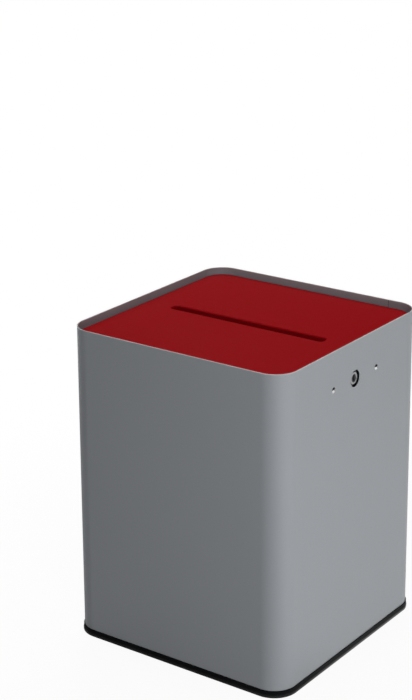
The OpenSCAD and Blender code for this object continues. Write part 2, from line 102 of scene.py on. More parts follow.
class Sketch:
    """Adds nodes to one tree and joins them."""

    def __init__(self, tree: Tree) -> None:
        """Starts a sketch on an empty tree."""
        self.tree = tree

    def fill(self, node: Node, inputs: dict) -> None:
        """Joins output sockets to a node's inputs, or sets their values.

        Args:
            node: the node.
            inputs: values or output sockets, by the input's name or index.
        """
        for name, value in inputs.items():
            if isinstance(value, Socket):
                self.tree.links.new(value, node.inputs[name])
            else:
                node.inputs[name].default_value = value

    def add(self, kind: str, inputs: dict | None = None, **settings) -> Node:
        """Adds one node.

        Args:
            kind: the node's type name.
            inputs: values or output sockets for its input sockets, by name or index.
            **settings: plain properties of the node.

        Returns:
            The new node.
        """
        node = self.tree.nodes.new(kind)
        for name, value in settings.items():
            setattr(node, name, value)
        self.fill(node, inputs or {})
        return node

    def math(self, operation: str, a: Value, b: Value = 0.0, clamp: bool = False) -> Socket:
        """Returns the result of a Math node on two values or sockets."""
        return self.add("ShaderNodeMath", {0: a, 1: b}, operation=operation, use_clamp=clamp).outputs[0]

    def product(self, a: Value, b: Value) -> Socket:
        """Returns two values multiplied."""
        return self.math("MULTIPLY", a, b)

    def plus(self, a: Value, b: Value) -> Socket:
        """Returns the sum of two values."""
        return self.math("ADD", a, b)

    def less(self, a: Value, b: Value, clamp: bool = False) -> Socket:
        """Returns the first value less the second."""
        return self.math("SUBTRACT", a, b, clamp)

    def fade(self, value: Socket, reach: Socket) -> Socket:
        """Returns 1 where value is 0, down to 0 where it has come to reach."""
        return self.less(1.0, self.math("DIVIDE", value, reach), clamp=True)

    def ramp(self, value: Socket, low: float, high: float, to_low: float = 0.0, to_high: float = 1.0,
             smooth: bool = True) -> Socket:
        """Maps a value from one range to another, held at both ends.

        Args:
            value: what is mapped.
            low: where the range starts.
            high: where the range ends.
            to_low: the result at and below low.
            to_high: the result at and above high.
            smooth: True eases the slope in and out.

        Returns:
            The mapped value.
        """
        node = self.add("ShaderNodeMapRange", {0: value, 1: low, 2: high, 3: to_low, 4: to_high})
        node.interpolation_type = "SMOOTHSTEP" if smooth else "LINEAR"
        return node.outputs[0]

    def noise(self, place: Socket, scale: Value, detail: float = 2.0, rough: float = 0.5) -> Socket:
        """Returns a noise value at a place, with the given number of cells in a metre."""
        return self.add("ShaderNodeTexNoise", {"Vector": place, "Scale": scale, "Detail": detail,
                                               "Roughness": rough}).outputs[0]

    def height(self, place: Socket) -> Socket:
        """Returns the Z of a vector."""
        return self.add("ShaderNodeSeparateXYZ", {0: place}).outputs[2]

    def vector(self, operation: str, inputs: dict, output: str = "Vector") -> Socket:
        """Returns an output of a Vector Math node, whose inputs are given by name or index."""
        return self.add("ShaderNodeVectorMath", inputs, operation=operation).outputs[output]

    def scaled(self, vector: Socket | Triple, by: Value) -> Socket:
        """Returns a vector or a colour multiplied by a value."""
        return self.vector("SCALE", {0: vector, "Scale": by})

    def tinted(self, mask: Socket, base: Socket, colour: Triple) -> Socket:
        """Returns base where the mask is 0 and a plain colour where it is 1."""
        return self.add("ShaderNodeMix", {0: mask, 6: base, 7: (*colour, 1.0)},
                        data_type="RGBA").outputs[2]

    def relief(self, height: Socket, depth: float, strength: float) -> Socket:
        """Returns the normal of a relief of the given depth, in metres."""
        return self.add("ShaderNodeBump", {"Height": height, "Distance": depth,
                                           "Strength": strength}).outputs[0]


def blank(owner: Material | bpy.types.World) -> Sketch:
    """Returns a sketch on the emptied node tree of a material or a world."""
    owner.use_nodes = True
    owner.node_tree.nodes.clear()
    return Sketch(owner.node_tree)


def new_group(name: str, kind: str, inputs: dict, outputs: Sequence[str]
              ) -> tuple[Sketch, Sockets, Node]:
    """Makes a node group with named sockets.

    Args:
        name: the group's name.
        kind: Shader or Geometry.
        inputs: for each input its default value, or the kind of its socket where it has none.
        outputs: names of the outputs, which are values in a shader group and else geometry.

    Returns:
        A sketch on the tree, the sockets that hold its inputs, and its output node.
    """
    tree = bpy.data.node_groups.new(name, f"{kind}NodeTree")
    for label, value in inputs.items():
        sort = value if isinstance(value, str) else type(value).__name__.title()
        socket = tree.interface.new_socket(name=label, in_out="INPUT", socket_type=f"NodeSocket{sort}")
        if not isinstance(value, str):
            socket.default_value = value
    result = "NodeSocketFloat" if kind == "Shader" else "NodeSocketGeometry"
    for label in outputs:
        tree.interface.new_socket(name=label, in_out="OUTPUT", socket_type=result)
    sketch = Sketch(tree)
    return sketch, sketch.add("NodeGroupInput").outputs, sketch.add("NodeGroupOutput")


# ---------------------------------------------------------------- shared shader groups


class Effect(Enum):
    """Surface effects that several finishes share, by the name of their shader group."""

    GRAIN = "powder_grain"
    EDGE_WEAR = "edge_wear"
    SPANGLE = "zinc_spangle"
    DRAWN = "drawn_lines"
    DUST = "settled_dust"


class EffectShelf:
    """Builds each shared shader group once and lays it into finishes."""

    def __init__(self) -> None:
        """Starts with an empty shelf."""
        self.built: dict[Effect, Tree] = {}

    def lay(self, sketch: Sketch, effect: Effect, place: Socket, values: dict) -> Sockets:
        """Places an effect in a material.

        Args:
            sketch: the material's sketch.
            effect: the effect, whose group is built the first time.
            place: where on the object a point lies.
            values: the effect's own inputs, by name.

        Returns:
            The effect's outputs, by name.
        """
        if effect not in self.built:
            makers: dict[Effect, Callable[[str], Tree]] = {
                Effect.GRAIN: self._grain, Effect.EDGE_WEAR: self._edge_wear,
                Effect.SPANGLE: self._spangle, Effect.DRAWN: self._drawn, Effect.DUST: self._dust}
            self.built[effect] = makers[effect](effect.value)
        return sketch.add("ShaderNodeGroup", {"Vector": place, **values},
                          node_tree=self.built[effect]).outputs

    @staticmethod
    def _grain(name: str) -> Tree:
        """Fine texture of a powder coat: a pebbled height, a fleck and slow drifts of tone.

        Args:
            name: the group's name.

        Returns:
            The group's tree.
        """
        s, given, out = new_group(name, "Shader", {
            "Vector": "Vector", "Grain": 900.0, "Fleck": 0.05, "Drift": 0.03}, ["Height", "Tone"])
        place = given["Vector"]
        pebbles = s.add("ShaderNodeTexVoronoi", {"Vector": place, "Scale": given["Grain"]},
                        feature="SMOOTH_F1").outputs["Distance"]
        peel = s.noise(place, 260.0)
        fleck = s.less(s.noise(place, 2400.0, 1.0), 0.5)
        drift = s.less(s.noise(place, 7.0), 0.5)
        tone = s.plus(s.product(fleck, given["Fleck"]), s.product(drift, given["Drift"]))
        s.fill(out, {"Height": s.plus(s.product(pebbles, 0.6), s.product(peel, 0.7)),
                     "Tone": s.plus(tone, 1.0)})
        return s.tree

    @staticmethod
    def _edge_wear(name: str) -> Tree:
        """Line along an edge at a given height, broken up by noise: rubbed wear, and a painted highlight
        where its colour is light.

        Args:
            name: the group's name.

        Returns:
            The group's tree.
        """
        s, given, out = new_group(name, "Shader", {
            "Vector": "Vector", "Edge Height": 0.45, "Reach": 0.001, "Breaks": 0.5}, ["Mask"])
        place = given["Vector"]
        off = s.math("ABSOLUTE", s.less(s.height(place), given["Edge Height"]))
        near = s.fade(off, given["Reach"])
        gaps = s.ramp(s.noise(place, 110.0, 4.0, 0.65), 0.42, 0.66)
        missing = s.product(given["Breaks"], s.less(1.0, gaps))
        s.fill(out, {"Mask": s.product(near, s.less(1.0, missing, clamp=True))})
        return s.tree

    @staticmethod
    def _spangle(name: str) -> Tree:
        """Crystal flowers of hot dipped zinc.

        Args:
            name: the group's name.

        Returns:
            The group's tree.
        """
        s, given, out = new_group(name, "Shader", {
            "Vector": "Vector", "Crystals": 130.0, "Contrast": 0.3}, ["Tone", "Gloss", "Height"])
        place = given["Vector"]
        bend = s.add("ShaderNodeTexNoise", {"Vector": place, "Scale": 60.0, "Detail": 2.0}).outputs[1]
        bent = s.vector("ADD", {0: place, 1: s.scaled(bend, 0.012)})
        cells = s.add("ShaderNodeTexVoronoi", {"Vector": bent, "Scale": given["Crystals"]})
        pick = s.add("ShaderNodeSeparateColor", {0: cells.outputs["Color"]}).outputs
        feather = s.noise(place, 900.0, 3.0)
        mixed = s.plus(s.product(pick[0], 0.75), s.product(feather, 0.5))
        off = s.product(s.less(mixed, 0.6), given["Contrast"])
        s.fill(out, {"Tone": s.plus(off, 1.0), "Gloss": pick[1],
                     "Height": s.plus(pick[2], s.product(feather, 0.3))})
        return s.tree

    @staticmethod
    def _drawn(name: str) -> Tree:
        """Fine lines that drawing, rolling or turning leaves along one direction.

        Args:
            name: the group's name.

        Returns:
            The group's tree.
        """
        s, given, out = new_group(name, "Shader", {
            "Vector": "Vector", "Lines": 2500.0, "Depth": 0.15}, ["Tone", "Height"])
        lines = s.noise(given["Vector"], given["Lines"], 3.0)
        off = s.product(s.less(lines, 0.5), given["Depth"])
        s.fill(out, {"Tone": s.plus(off, 1.0), "Height": lines})
        return s.tree

    @staticmethod
    def _dust(name: str) -> Tree:
        """Thin dust that gathers near the floor.

        Args:
            name: the group's name.

        Returns:
            The group's tree.
        """
        s, given, out = new_group(name, "Shader", {
            "Vector": "Vector", "Floor Reach": 0.03, "Amount": 0.3}, ["Mask"])
        place = given["Vector"]
        low = s.fade(s.height(place), given["Floor Reach"])
        patches = s.ramp(s.noise(place, 45.0, 5.0, 0.6), 0.38, 0.72)
        s.fill(out, {"Mask": s.product(s.product(low, patches), given["Amount"])})
        return s.tree


# ---------------------------------------------------------------- finishes


@dataclass(frozen=True)
class Finish:
    """A finish: the name of its material and what every finish shares."""

    name: str
    colour: Triple
    roughness: float

    def build(self, shelf: EffectShelf) -> Material:
        """Builds the material.

        Args:
            shelf: the shared effects.

        Returns:
            The material.
        """
        material = bpy.data.materials.new(self.name)
        material.diffuse_color = (*self.colour, 1.0)
        s = blank(material)
        surface = s.add("ShaderNodeBsdfPrincipled", {"Roughness": self.roughness})
        s.add("ShaderNodeOutputMaterial", {"Surface": surface.outputs[0]})
        s.fill(surface, self.coat(s, shelf, s.add("ShaderNodeTexCoord").outputs["Object"]))
        return material

    def coat(self, s: Sketch, shelf: EffectShelf, place: Socket) -> dict:
        """Lays out the finish.

        Args:
            s: the material's sketch.
            shelf: the shared effects.
            place: where on the object a point lies.

        Returns:
            The surface's inputs, by name.
        """
        raise NotImplementedError


@dataclass(frozen=True)
class PowderCoat(Finish):
    """Powder coat on steel, with dust near the floor and a line along one edge: rubbed wear, lightened
    into a painted highlight on the casing's rim.
    """

    metallic: float = 0.0
    specular: float = 0.5
    specular_tint: Triple = EVEN
    fleck: float = 0.05
    drift: float = 0.04
    edge_height: float = 0.45
    worn: Triple = (0.5, 0.5, 0.5)
    dust: Triple = (0.34, 0.33, 0.31)

    def coat(self, s: Sketch, shelf: EffectShelf, place: Socket) -> dict:
        """Lays out grain, a worn edge that on the casing's rim is also a painted highlight, and dust
        over the paint.

        Args:
            s: the material's sketch.
            shelf: the shared effects.
            place: where on the object a point lies.

        Returns:
            The surface's inputs, by name.
        """
        grain = shelf.lay(s, Effect.GRAIN, place, {"Fleck": self.fleck, "Drift": self.drift})
        # the edge line is rubbed wear; in the casing's light colour it is also a painted highlight along
        # the rim
        wear_and_highlight_mask = shelf.lay(s, Effect.EDGE_WEAR, place, {"Edge Height": self.edge_height, "Reach": 0.0012,
                                                      "Breaks": 0.3})
        dust = shelf.lay(s, Effect.DUST, place, {"Floor Reach": 0.045, "Amount": 0.22})
        rubbed_and_lit = s.tinted(wear_and_highlight_mask["Mask"], s.scaled(self.colour, grain["Tone"]), self.worn)
        return {"Base Color": s.tinted(dust["Mask"], rubbed_and_lit, self.dust),
                "Roughness": s.plus(s.product(grain["Height"], 0.06), self.roughness - 0.04),
                "Metallic": self.metallic, "Specular IOR Level": self.specular,
                "Specular Tint": (*self.specular_tint, 1.0),
                "Normal": s.relief(grain["Height"], 0.00012, 0.35)}


@dataclass(frozen=True)
class Rubber(Finish):
    """Black rubber, extruded or moulded, polished up to a height and with dust near the floor."""

    dusty: float = 0.0
    polished_to: float = 0.0
    dust: Triple = (0.11, 0.105, 0.1)

    def coat(self, s: Sketch, shelf: EffectShelf, place: Socket) -> dict:
        """Lays out faint lines, dust and a polished lower part.

        Args:
            s: the material's sketch.
            shelf: the shared effects.
            place: where on the object a point lies.

        Returns:
            The surface's inputs, by name.
        """
        along = s.add("ShaderNodeMapping", {"Vector": place, "Scale": (0.05, 0.05, 1.0)}).outputs[0]
        lines = shelf.lay(s, Effect.DRAWN, along, {"Lines": 1800.0, "Depth": 0.3})
        dust = shelf.lay(s, Effect.DUST, place, {"Floor Reach": 0.02, "Amount": self.dusty})
        matt = s.noise(place, 300.0, 3.0)
        fade = self.polished_to + 0.0005
        return {"Base Color": s.tinted(dust["Mask"], s.scaled(self.colour, lines["Tone"]), self.dust),
                "Roughness": s.plus(s.product(matt, 0.12), self.roughness - 0.06),
                "Specular IOR Level": 0.12, "Coat Roughness": 0.34,
                "Coat Weight": s.ramp(s.height(place), self.polished_to, fade, 0.9, 0.0),
                "Normal": s.relief(s.plus(lines["Height"], s.product(matt, 0.5)), 0.00006, 0.4)}


@dataclass(frozen=True)
class ZincSheet(Finish):
    """Galvanised sheet with its spangle."""

    def coat(self, s: Sketch, shelf: EffectShelf, place: Socket) -> dict:
        """Lays out the spangle.

        Args:
            s: the material's sketch.
            shelf: the shared effects.
            place: where on the object a point lies.

        Returns:
            The surface's inputs, by name.
        """
        zinc = shelf.lay(s, Effect.SPANGLE, place, {"Crystals": 120.0, "Contrast": 0.42})
        least, most = self.roughness - 0.1, self.roughness + 0.12
        return {"Base Color": s.scaled(self.colour, zinc["Tone"]), "Metallic": 0.9,
                "Roughness": s.ramp(zinc["Gloss"], 0.0, 1.0, least, most, smooth=False),
                "Normal": s.relief(zinc["Height"], 0.00005, 0.3)}


@dataclass(frozen=True)
class PlatedMetal(Finish):
    """Plated or bare metal with fine drawn lines."""

    stretch: Triple = (0.04, 1.0, 1.0)
    depth: float = 0.12

    def coat(self, s: Sketch, shelf: EffectShelf, place: Socket) -> dict:
        """Lays out drawn lines and clouds.

        Args:
            s: the material's sketch.
            shelf: the shared effects.
            place: where on the object a point lies.

        Returns:
            The surface's inputs, by name.
        """
        along = s.add("ShaderNodeMapping", {"Vector": place, "Scale": self.stretch}).outputs[0]
        drawn = shelf.lay(s, Effect.DRAWN, along, {"Lines": 2200.0, "Depth": self.depth})
        cloud = s.noise(place, 180.0, 4.0, 0.6)
        tone = s.plus(drawn["Tone"], s.product(s.less(cloud, 0.5), 0.15))
        return {"Base Color": s.scaled(self.colour, tone), "Metallic": 1.0,
                "Roughness": s.ramp(cloud, 0.3, 0.75, self.roughness - 0.05, self.roughness + 0.1),
                "Normal": s.relief(drawn["Height"], 0.00002, 0.3)}


class Slot(Enum):
    """Material slots of the record, each with its finish."""

    # the casing's light edge colour paints a highlight along the rim, over the rubbed wear
    CASING_PAINT = PowderCoat("silver_grey_powder_coat", (0.322, 0.34, 0.362), 0.42, metallic=0.12,
                              fleck=0.16, drift=0.03, worn=(0.68, 0.675, 0.67))
    LID_PAINT = PowderCoat("red_powder_coat", (0.29, 0.0036, 0.0063), 0.42, specular=0.05,
                           specular_tint=(0.75, 0.03, 0.045), fleck=0.08, drift=0.05, edge_height=0.4265,
                           worn=(0.25, 0.02, 0.02))
    TRIM_RUBBER = Rubber("extruded_trim_rubber", (0.004, 0.0043, 0.005), 0.6, dusty=0.03,
                         polished_to=0.005)
    ZINC_SHEET = ZincSheet("galvanised_sheet", (0.52, 0.54, 0.55), 0.42)
    PLATED_STEEL = PlatedMetal("zinc_plated_steel", (0.55, 0.55, 0.53), 0.34)
    LOCK_METAL = PlatedMetal("nickel_plated_lock", (0.37, 0.378, 0.385), 0.36, stretch=(1.0, 1.0, 0.06))
    PLUG_METAL = PlatedMetal("darkened_plug", (0.032, 0.032, 0.034), 0.4, stretch=EVEN)
    RIVET_METAL = PlatedMetal("aluminium_rivet", (0.74, 0.75, 0.76), 0.22, stretch=EVEN, depth=0.05)
    BUFFER_RUBBER = Rubber("soft_buffer_rubber", (0.03, 0.03, 0.03), 0.75)
    HANDLE_WIRE = PlatedMetal("zinc_plated_wire", (0.5, 0.5, 0.5), 0.28, stretch=(0.05, 1.0, 1.0))

    @property
    def slot(self) -> str:
        """Name of the slot in the record."""
        return self.name.lower()


# ---------------------------------------------------------------- meshes


@dataclass(frozen=True)
class RoundPlan:
    """A rectangle with round corners in plan, in millimetres."""

    width: float
    depth: float
    radius: float

    def grown(self, by: float) -> "RoundPlan":
        """Returns the plan moved outwards by the given offset."""
        return RoundPlan(self.width + 2 * by, self.depth + 2 * by, self.radius + by)

    def points(self, steps: int) -> list[Point2]:
        """Draws the outline.

        Args:
            steps: steps in each corner.

        Returns:
            The outline's points.
        """
        found: list[Point2] = []
        for index, (sx, sy) in enumerate(((1, 1), (-1, 1), (-1, -1), (1, -1))):
            centre = sx * (self.width / 2 - self.radius), sy * (self.depth / 2 - self.radius)
            found += arc(centre, self.radius, 90 * index, 90 * index + 90, steps)
        return found


def arc(centre: Point2, radius: float, start: float, end: float, steps: int) -> list[Point2]:
    """Returns the points of an arc, both ends included; angles are in degrees."""
    angles = [math.radians(start + (end - start) * i / steps) for i in range(steps + 1)]
    return [(centre[0] + radius * math.cos(a), centre[1] + radius * math.sin(a)) for a in angles]


def tidy(mesh: BMesh) -> BMesh:
    """Merges doubles and turns every face outwards."""
    bmesh.ops.remove_doubles(mesh, verts=mesh.verts, dist=1e-6)
    bmesh.ops.recalc_face_normals(mesh, faces=mesh.faces)
    return mesh


def skinned(mesh: BMesh, rows: Sequence[list[bmesh.types.BMVert]], closed: bool, caps: bool) -> BMesh:
    """Joins rings of vertices into a closed mesh.

    Args:
        mesh: the mesh that holds the vertices.
        rows: the rings, where one vertex alone is a point on the axis.
        closed: True joins the last ring with the first.
        caps: True closes the first and the last ring with a face.

    Returns:
        The same mesh.
    """
    steps = max(len(row) for row in rows)
    for low, high in list(zip(rows, rows[1:])) + ([(rows[-1], rows[0])] if closed else []):
        if len(low) == 1 and len(high) == 1:
            continue
        for i in range(steps):
            j = (i + 1) % steps
            corners = (low[i % len(low)], low[j % len(low)], high[j % len(high)], high[i % len(high)])
            mesh.faces.new(list(dict.fromkeys(corners)))
    if caps:
        mesh.faces.new(rows[0])
        mesh.faces.new(rows[-1])
    return tidy(mesh)


def loft_plans(rings: Sequence[tuple[RoundPlan, float]], steps: int, caps: bool) -> BMesh:
    """Joins plans at given heights.

    Args:
        rings: the plans, each with its height.
        steps: steps in each corner.
        caps: True closes the first and the last ring with a face, False joins them.

    Returns:
        A closed mesh in metres.
    """
    mesh = bmesh.new()
    rows = [[mesh.verts.new((x * MM, y * MM, height * MM)) for x, y in plan.points(steps)]
            for plan, height in rings]
    return skinned(mesh, rows, not caps, caps)


def rings_of(plan: RoundPlan, path: Sequence[Point2]) -> list[tuple[RoundPlan, float]]:
    """Returns a plan at each offset of a path, with the path's height there."""
    return [(plan.grown(off), height) for off, height in path]


def loft(plan: RoundPlan, path: Sequence[Point2], steps: int, caps: bool) -> BMesh:
    """Sweeps a path of offsets and heights round a plan.

    Args:
        plan: the plan at offset 0.
        path: pairs of outward offset and height, in millimetres.
        steps: steps in each corner.
        caps: True closes the first and the last ring with a face, False joins them.

    Returns:
        A closed mesh in metres.
    """
    return loft_plans(rings_of(plan, path), steps, caps)


def spun(profile: Sequence[Point2], steps: int = 48, closed: bool = False,
         radius_at: Callable[[float, float], float] | None = None) -> BMesh:
    """Turns a profile about the Z axis.

    Args:
        profile: pairs of radius and height, in millimetres.
        steps: faces round the axis.
        closed: True joins the last point with the first.
        radius_at: where given, the radius for an angle and a profile radius, as on a hexagon.

    Returns:
        A closed mesh in metres.
    """
    mesh = bmesh.new()
    rows: list[list[bmesh.types.BMVert]] = []
    for radius, height in profile:
        row = []
        for i in range(steps if radius > 0 else 1):
            angle = 2 * math.pi * i / steps
            reach = radius_at(angle, radius) if radius_at else radius
            row.append(mesh.verts.new((reach * MM * math.cos(angle), reach * MM * math.sin(angle),
                                       height * MM)))
        rows.append(row)
    return skinned(mesh, rows, closed, False)


def extruded(outline: Sequence[Point2], length: float) -> BMesh:
    """Extrudes an outline in the XY plane along +Z, both in millimetres."""
    mesh = bmesh.new()
    rows = [[mesh.verts.new((x * MM, y * MM, z * MM)) for x, y in outline] for z in (0.0, length)]
    return skinned(mesh, rows, False, True)


def block(centre: Sequence[float], size: Sequence[float]) -> BMesh:
    """Makes a box.

    Args:
        centre: its middle, in millimetres.
        size: its sides, in millimetres.

    Returns:
        A closed mesh in metres.
    """
    mesh = bmesh.new()
    bmesh.ops.create_cube(mesh, size=1.0, matrix=Matrix.Translation(Vector(centre) * MM)
                          @ Matrix.Diagonal((*(Vector(size) * MM), 1.0)))
    return mesh


def bent_wire(points: Sequence[Vector], bends: Sequence[float], radius: float, sides: int = 20,
              steps: int = 10) -> BMesh:
    """Makes a round wire along a path with round bends.

    Args:
        points: the path's corners, in millimetres.
        bends: bend radius at each inner corner.
        radius: the wire's radius.
        sides: faces round the wire.
        steps: steps in each bend.

    Returns:
        A closed mesh in metres, its ends chamfered.
    """
    path = [points[0]]
    for before, corner, after, bend in zip(points, points[1:], points[2:], bends):
        back, on = (before - corner).normalized(), (after - corner).normalized()
        half = math.acos(max(-1.0, min(1.0, back.dot(on)))) / 2
        centre = corner + (back + on).normalized() * (bend / math.sin(half))
        first = corner + back * (bend / math.tan(half)) - centre
        last = corner + on * (bend / math.tan(half)) - centre
        turn = first.cross(last).normalized()
        path += [centre + Matrix.Rotation(first.angle(last) * i / steps, 3, turn) @ first
                 for i in range(steps + 1)]
    path.append(points[-1])
    spots = [(point, (after - before).normalized(), radius)
             for before, point, after in zip(path[:1] + path, path, path[1:] + path[-1:])]
    chamfer = radius * 0.2
    for end, second, inwards in ((0, 1, 1), (-1, -1, -1)):
        point, ahead, _ = spots[end]
        spots[end] = (point, ahead, radius - chamfer)
        spots.insert(second, (point + ahead * (inwards * chamfer), ahead, radius))
    mesh = bmesh.new()
    side = (path[1] - path[0]).orthogonal().normalized()
    rows = []
    for point, ahead, reach in spots:
        side = (side - ahead * side.dot(ahead)).normalized()
        up = ahead.cross(side)
        rows.append([mesh.verts.new((point + (side * math.cos(a) + up * math.sin(a)) * reach) * MM)
                     for a in (2 * math.pi * i / sides for i in range(sides))])
    return skinned(mesh, rows, False, True)


def moved(mesh: BMesh, matrix: Matrix) -> BMesh:
    """Moves a mesh and returns it."""
    bmesh.ops.transform(mesh, matrix=matrix, verts=mesh.verts)
    return mesh


def rail(outline: Sequence[Point2], length: float, along: str) -> BMesh:
    """Extrudes an outline along X or Y, its middle at the origin.

    Args:
        outline: pairs of side and height, in millimetres.
        length: the rail's length.
        along: its axis, "X" or "Y".

    Returns:
        A closed mesh in metres.
    """
    turn = Matrix.Rotation(math.pi / 2, 4, "X")
    if along == "X":
        turn = Matrix.Rotation(math.pi / 2, 4, "Z") @ turn
    return moved(extruded(outline, length), turn @ Matrix.Translation((0, 0, -length * MM / 2)))


def on_lock_axis(mesh: BMesh, x: float) -> BMesh:
    """Puts a shape drawn along +Z onto the lock's axis, starting at x."""
    start = Matrix.Translation(Vector((x, 0, LOCK_Z)) * MM)
    return moved(mesh, start @ Matrix.Rotation(math.pi / 2, 4, "Y"))


# ---------------------------------------------------------------- workshop


def linked(name: str, data: bpy.types.ID) -> Object:
    """Makes an object of mesh, camera or light data and links it to the scene."""
    made = bpy.data.objects.new(name, data)
    bpy.context.scene.collection.objects.link(made)
    return made


def to_data(mesh: BMesh, name: str) -> Mesh:
    """Turns a mesh under construction into mesh data.

    Args:
        mesh: the mesh, which is freed.
        name: the data's name.

    Returns:
        The mesh data.
    """
    data = bpy.data.meshes.new(name)
    mesh.to_mesh(data)
    mesh.free()
    return data


def reworked(made: Object, change: Callable[[BMesh], BMesh]) -> Object:
    """Changes the mesh of an object in place.

    Args:
        made: the object.
        change: what is done to its mesh.

    Returns:
        The same object.
    """
    mesh = bmesh.new()
    mesh.from_mesh(made.data)
    change(mesh).to_mesh(made.data)
    mesh.free()
    return made


@dataclass(frozen=True)
class Spot:
    """Where a copy stands: its place in millimetres, its axis and its turn about it in radians."""

    place: Triple
    axis: Triple = UP
    turn: float = 0.0


@dataclass(frozen=True)
class Row:
    """A straight row of copies: first place and step in millimetres, count, and where they face."""

    start: Triple
    step: Triple
    count: int
    facing: Triple


@dataclass
class Workshop:
    """Makes finished pieces: meshes, node trees, finishes and the calls that join them to the frame."""

    frame: dict
    shelf: EffectShelf = field(default_factory=EffectShelf)
    finishes: dict[Slot, Material] = field(default_factory=dict)
    made: list[str] = field(default_factory=list)

    def finish(self, slot: Slot) -> Material:
        """Returns the material of a slot, and builds it the first time."""
        if slot not in self.finishes:
            self.finishes[slot] = slot.value.build(self.shelf)
        return self.finishes[slot]

    def scratch(self, shape: BMesh | Mesh | Object, name: str = "scratch") -> Object:
        """Makes a linked object of a shape, unless it is one already."""
        if isinstance(shape, Object):
            return shape
        return linked(name, to_data(shape, name) if isinstance(shape, BMesh) else shape)

    def settle(self, made: Object) -> Object:
        """Applies an object's modifiers to its mesh.

        Args:
            made: the object.

        Returns:
            The same object, without modifiers.
        """
        bpy.context.view_layer.update()
        ready = made.evaluated_get(bpy.context.evaluated_depsgraph_get())
        data = bpy.data.meshes.new_from_object(ready)
        made.modifiers.clear()
        made.data = data
        return made

    def drop(self, *objects: Object) -> None:
        """Removes scratch objects."""
        for made in objects:
            bpy.data.objects.remove(made, do_unlink=True)

    def carve(self, shape: BMesh | Object, tools: Iterable[BMesh], operation: str = "DIFFERENCE"
              ) -> Object:
        """Cuts closed meshes out of a shape, or joins them to it.

        Args:
            shape: the shape, as a mesh or an object.
            tools: the closed meshes.
            operation: DIFFERENCE cuts them out, UNION joins them.

        Returns:
            The carved object.
        """
        made = self.scratch(shape)
        cutters = [self.scratch(tool, "cutter") for tool in tools]
        for cutter in cutters:
            step = made.modifiers.new("carve", "BOOLEAN")
            step.operation, step.solver, step.object = operation, "EXACT", cutter
        self.settle(made)
        self.drop(*cutters)
        return made

    def smooth(self, shape: BMesh | Object, angle: float = 32.0, bevel: float = 0.0, segments: int = 2
               ) -> Object:
        """Rounds a shape's sharp edges and gives it smooth shading that keeps flat faces flat.

        Args:
            shape: the shape, as a mesh or an object.
            angle: edges sharper than this many degrees count as sharp.
            bevel: width of the rounding in millimetres, 0 for none.
            segments: faces across the rounding.

        Returns:
            The object.
        """
        made = self.scratch(shape)
        if bevel > 0:
            rounding = made.modifiers.new("rounding", "BEVEL")
            rounding.width, rounding.segments = bevel * MM, segments
            rounding.limit_method, rounding.angle_limit = "ANGLE", math.radians(angle)
            rounding.use_clamp_overlap = True
            self.settle(made)
        made.data.shade_smooth()
        made.data.set_sharp_from_angle(angle=math.radians(angle + HARD_EDGE))
        weighted = made.modifiers.new("even_normals", "WEIGHTED_NORMAL")
        weighted.keep_sharp, weighted.weight = True, 90
        return self.settle(made)

    def join(self, parts: Sequence[Object]) -> Object:
        """Joins objects that sit at the origin into the first of them.

        Args:
            parts: the objects.

        Returns:
            The first object.
        """
        mesh = bmesh.new()
        for part in parts:
            mesh.from_mesh(part.data)
        self.drop(*parts[1:])
        parts[0].data = to_data(mesh, "joined")
        return parts[0]

    def place(self, made: Object, name: str, slot: Slot, body: str, *nodes: str) -> None:
        """Gives a piece its name, finish and body.

        Args:
            made: the piece's object.
            name: its name.
            slot: its finish.
            body: the body that it rides on.
            *nodes: the CAD nodes that it replaces, if any.
        """
        made.name, made.data.name = name, name
        made.data.materials.clear()
        made.data.materials.append(self.finish(slot))
        for face in made.data.polygons:
            face.material_index = 0
        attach(made, body)
        if nodes:
            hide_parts(*nodes)
        self.made.append(name)
        LOG.info("%s: %d faces on %s", name, len(made.data.polygons), body)

    def piece(self, shape: BMesh | Object, name: str, slot: Slot, body: str, *nodes: str, **rounding
              ) -> None:
        """Smooths a shape and places it; see smooth and place."""
        self.place(self.smooth(shape, **rounding), name, slot, body, *nodes)

    def refine(self, node: str, name: str, slot: Slot, body: str, angle: float = 32.0) -> None:
        """Places a merged copy of a CAD node with its edges rounded.

        Args:
            node: the CAD node, which the copy replaces.
            name: the piece's name.
            slot: its finish.
            body: the body that it rides on.
            angle: edges sharper than this many degrees count as sharp.
        """
        mesh = bmesh.new()
        mesh.from_mesh(self.frame["nodes"][node].data)
        bmesh.ops.remove_doubles(mesh, verts=mesh.verts, dist=5e-6)
        bmesh.ops.dissolve_limit(mesh, angle_limit=math.radians(1.0), verts=mesh.verts, edges=mesh.edges)
        bmesh.ops.recalc_face_normals(mesh, faces=mesh.faces)
        made = self.scratch(mesh, node)
        made.data.materials.clear()
        self.piece(made, name, slot, body, node, angle=angle, bevel=0.3)

    # ---- geometry trees

    @staticmethod
    def _open_tree(name: str, inputs: dict) -> tuple[Sketch, Sockets, Node]:
        """Starts a geometry tree, with a base mesh and a finish beside its own inputs."""
        return new_group(name, "Geometry", {"Geometry": "Geometry", **inputs, "Finish": "Material"},
                         ["Geometry"])

    @staticmethod
    def _stand(s: Sketch, given: Sockets, points: Socket, rotation: Socket) -> Socket:
        """Stands a copy of the given master on each point."""
        master = s.add("GeometryNodeObjectInfo", {"Object": given["Master"]}, transform_space="ORIGINAL")
        return s.add("GeometryNodeInstanceOnPoints", {
            "Points": points, "Instance": master.outputs["Geometry"], "Rotation": rotation}).outputs[0]

    @staticmethod
    def _close_tree(s: Sketch, given: Sockets, out: Node, result: Socket) -> Tree:
        """Ends a geometry tree with real copies and their finish.

        Args:
            s: the tree's sketch.
            given: the group's inputs.
            out: the output node.
            result: the geometry.

        Returns:
            The finished tree.
        """
        real = s.add("GeometryNodeRealizeInstances", {"Geometry": result})
        dressed = s.add("GeometryNodeSetMaterial", {"Geometry": real.outputs[0],
                                                    "Material": given["Finish"]})
        s.fill(out, {"Geometry": dressed.outputs[0]})
        return s.tree

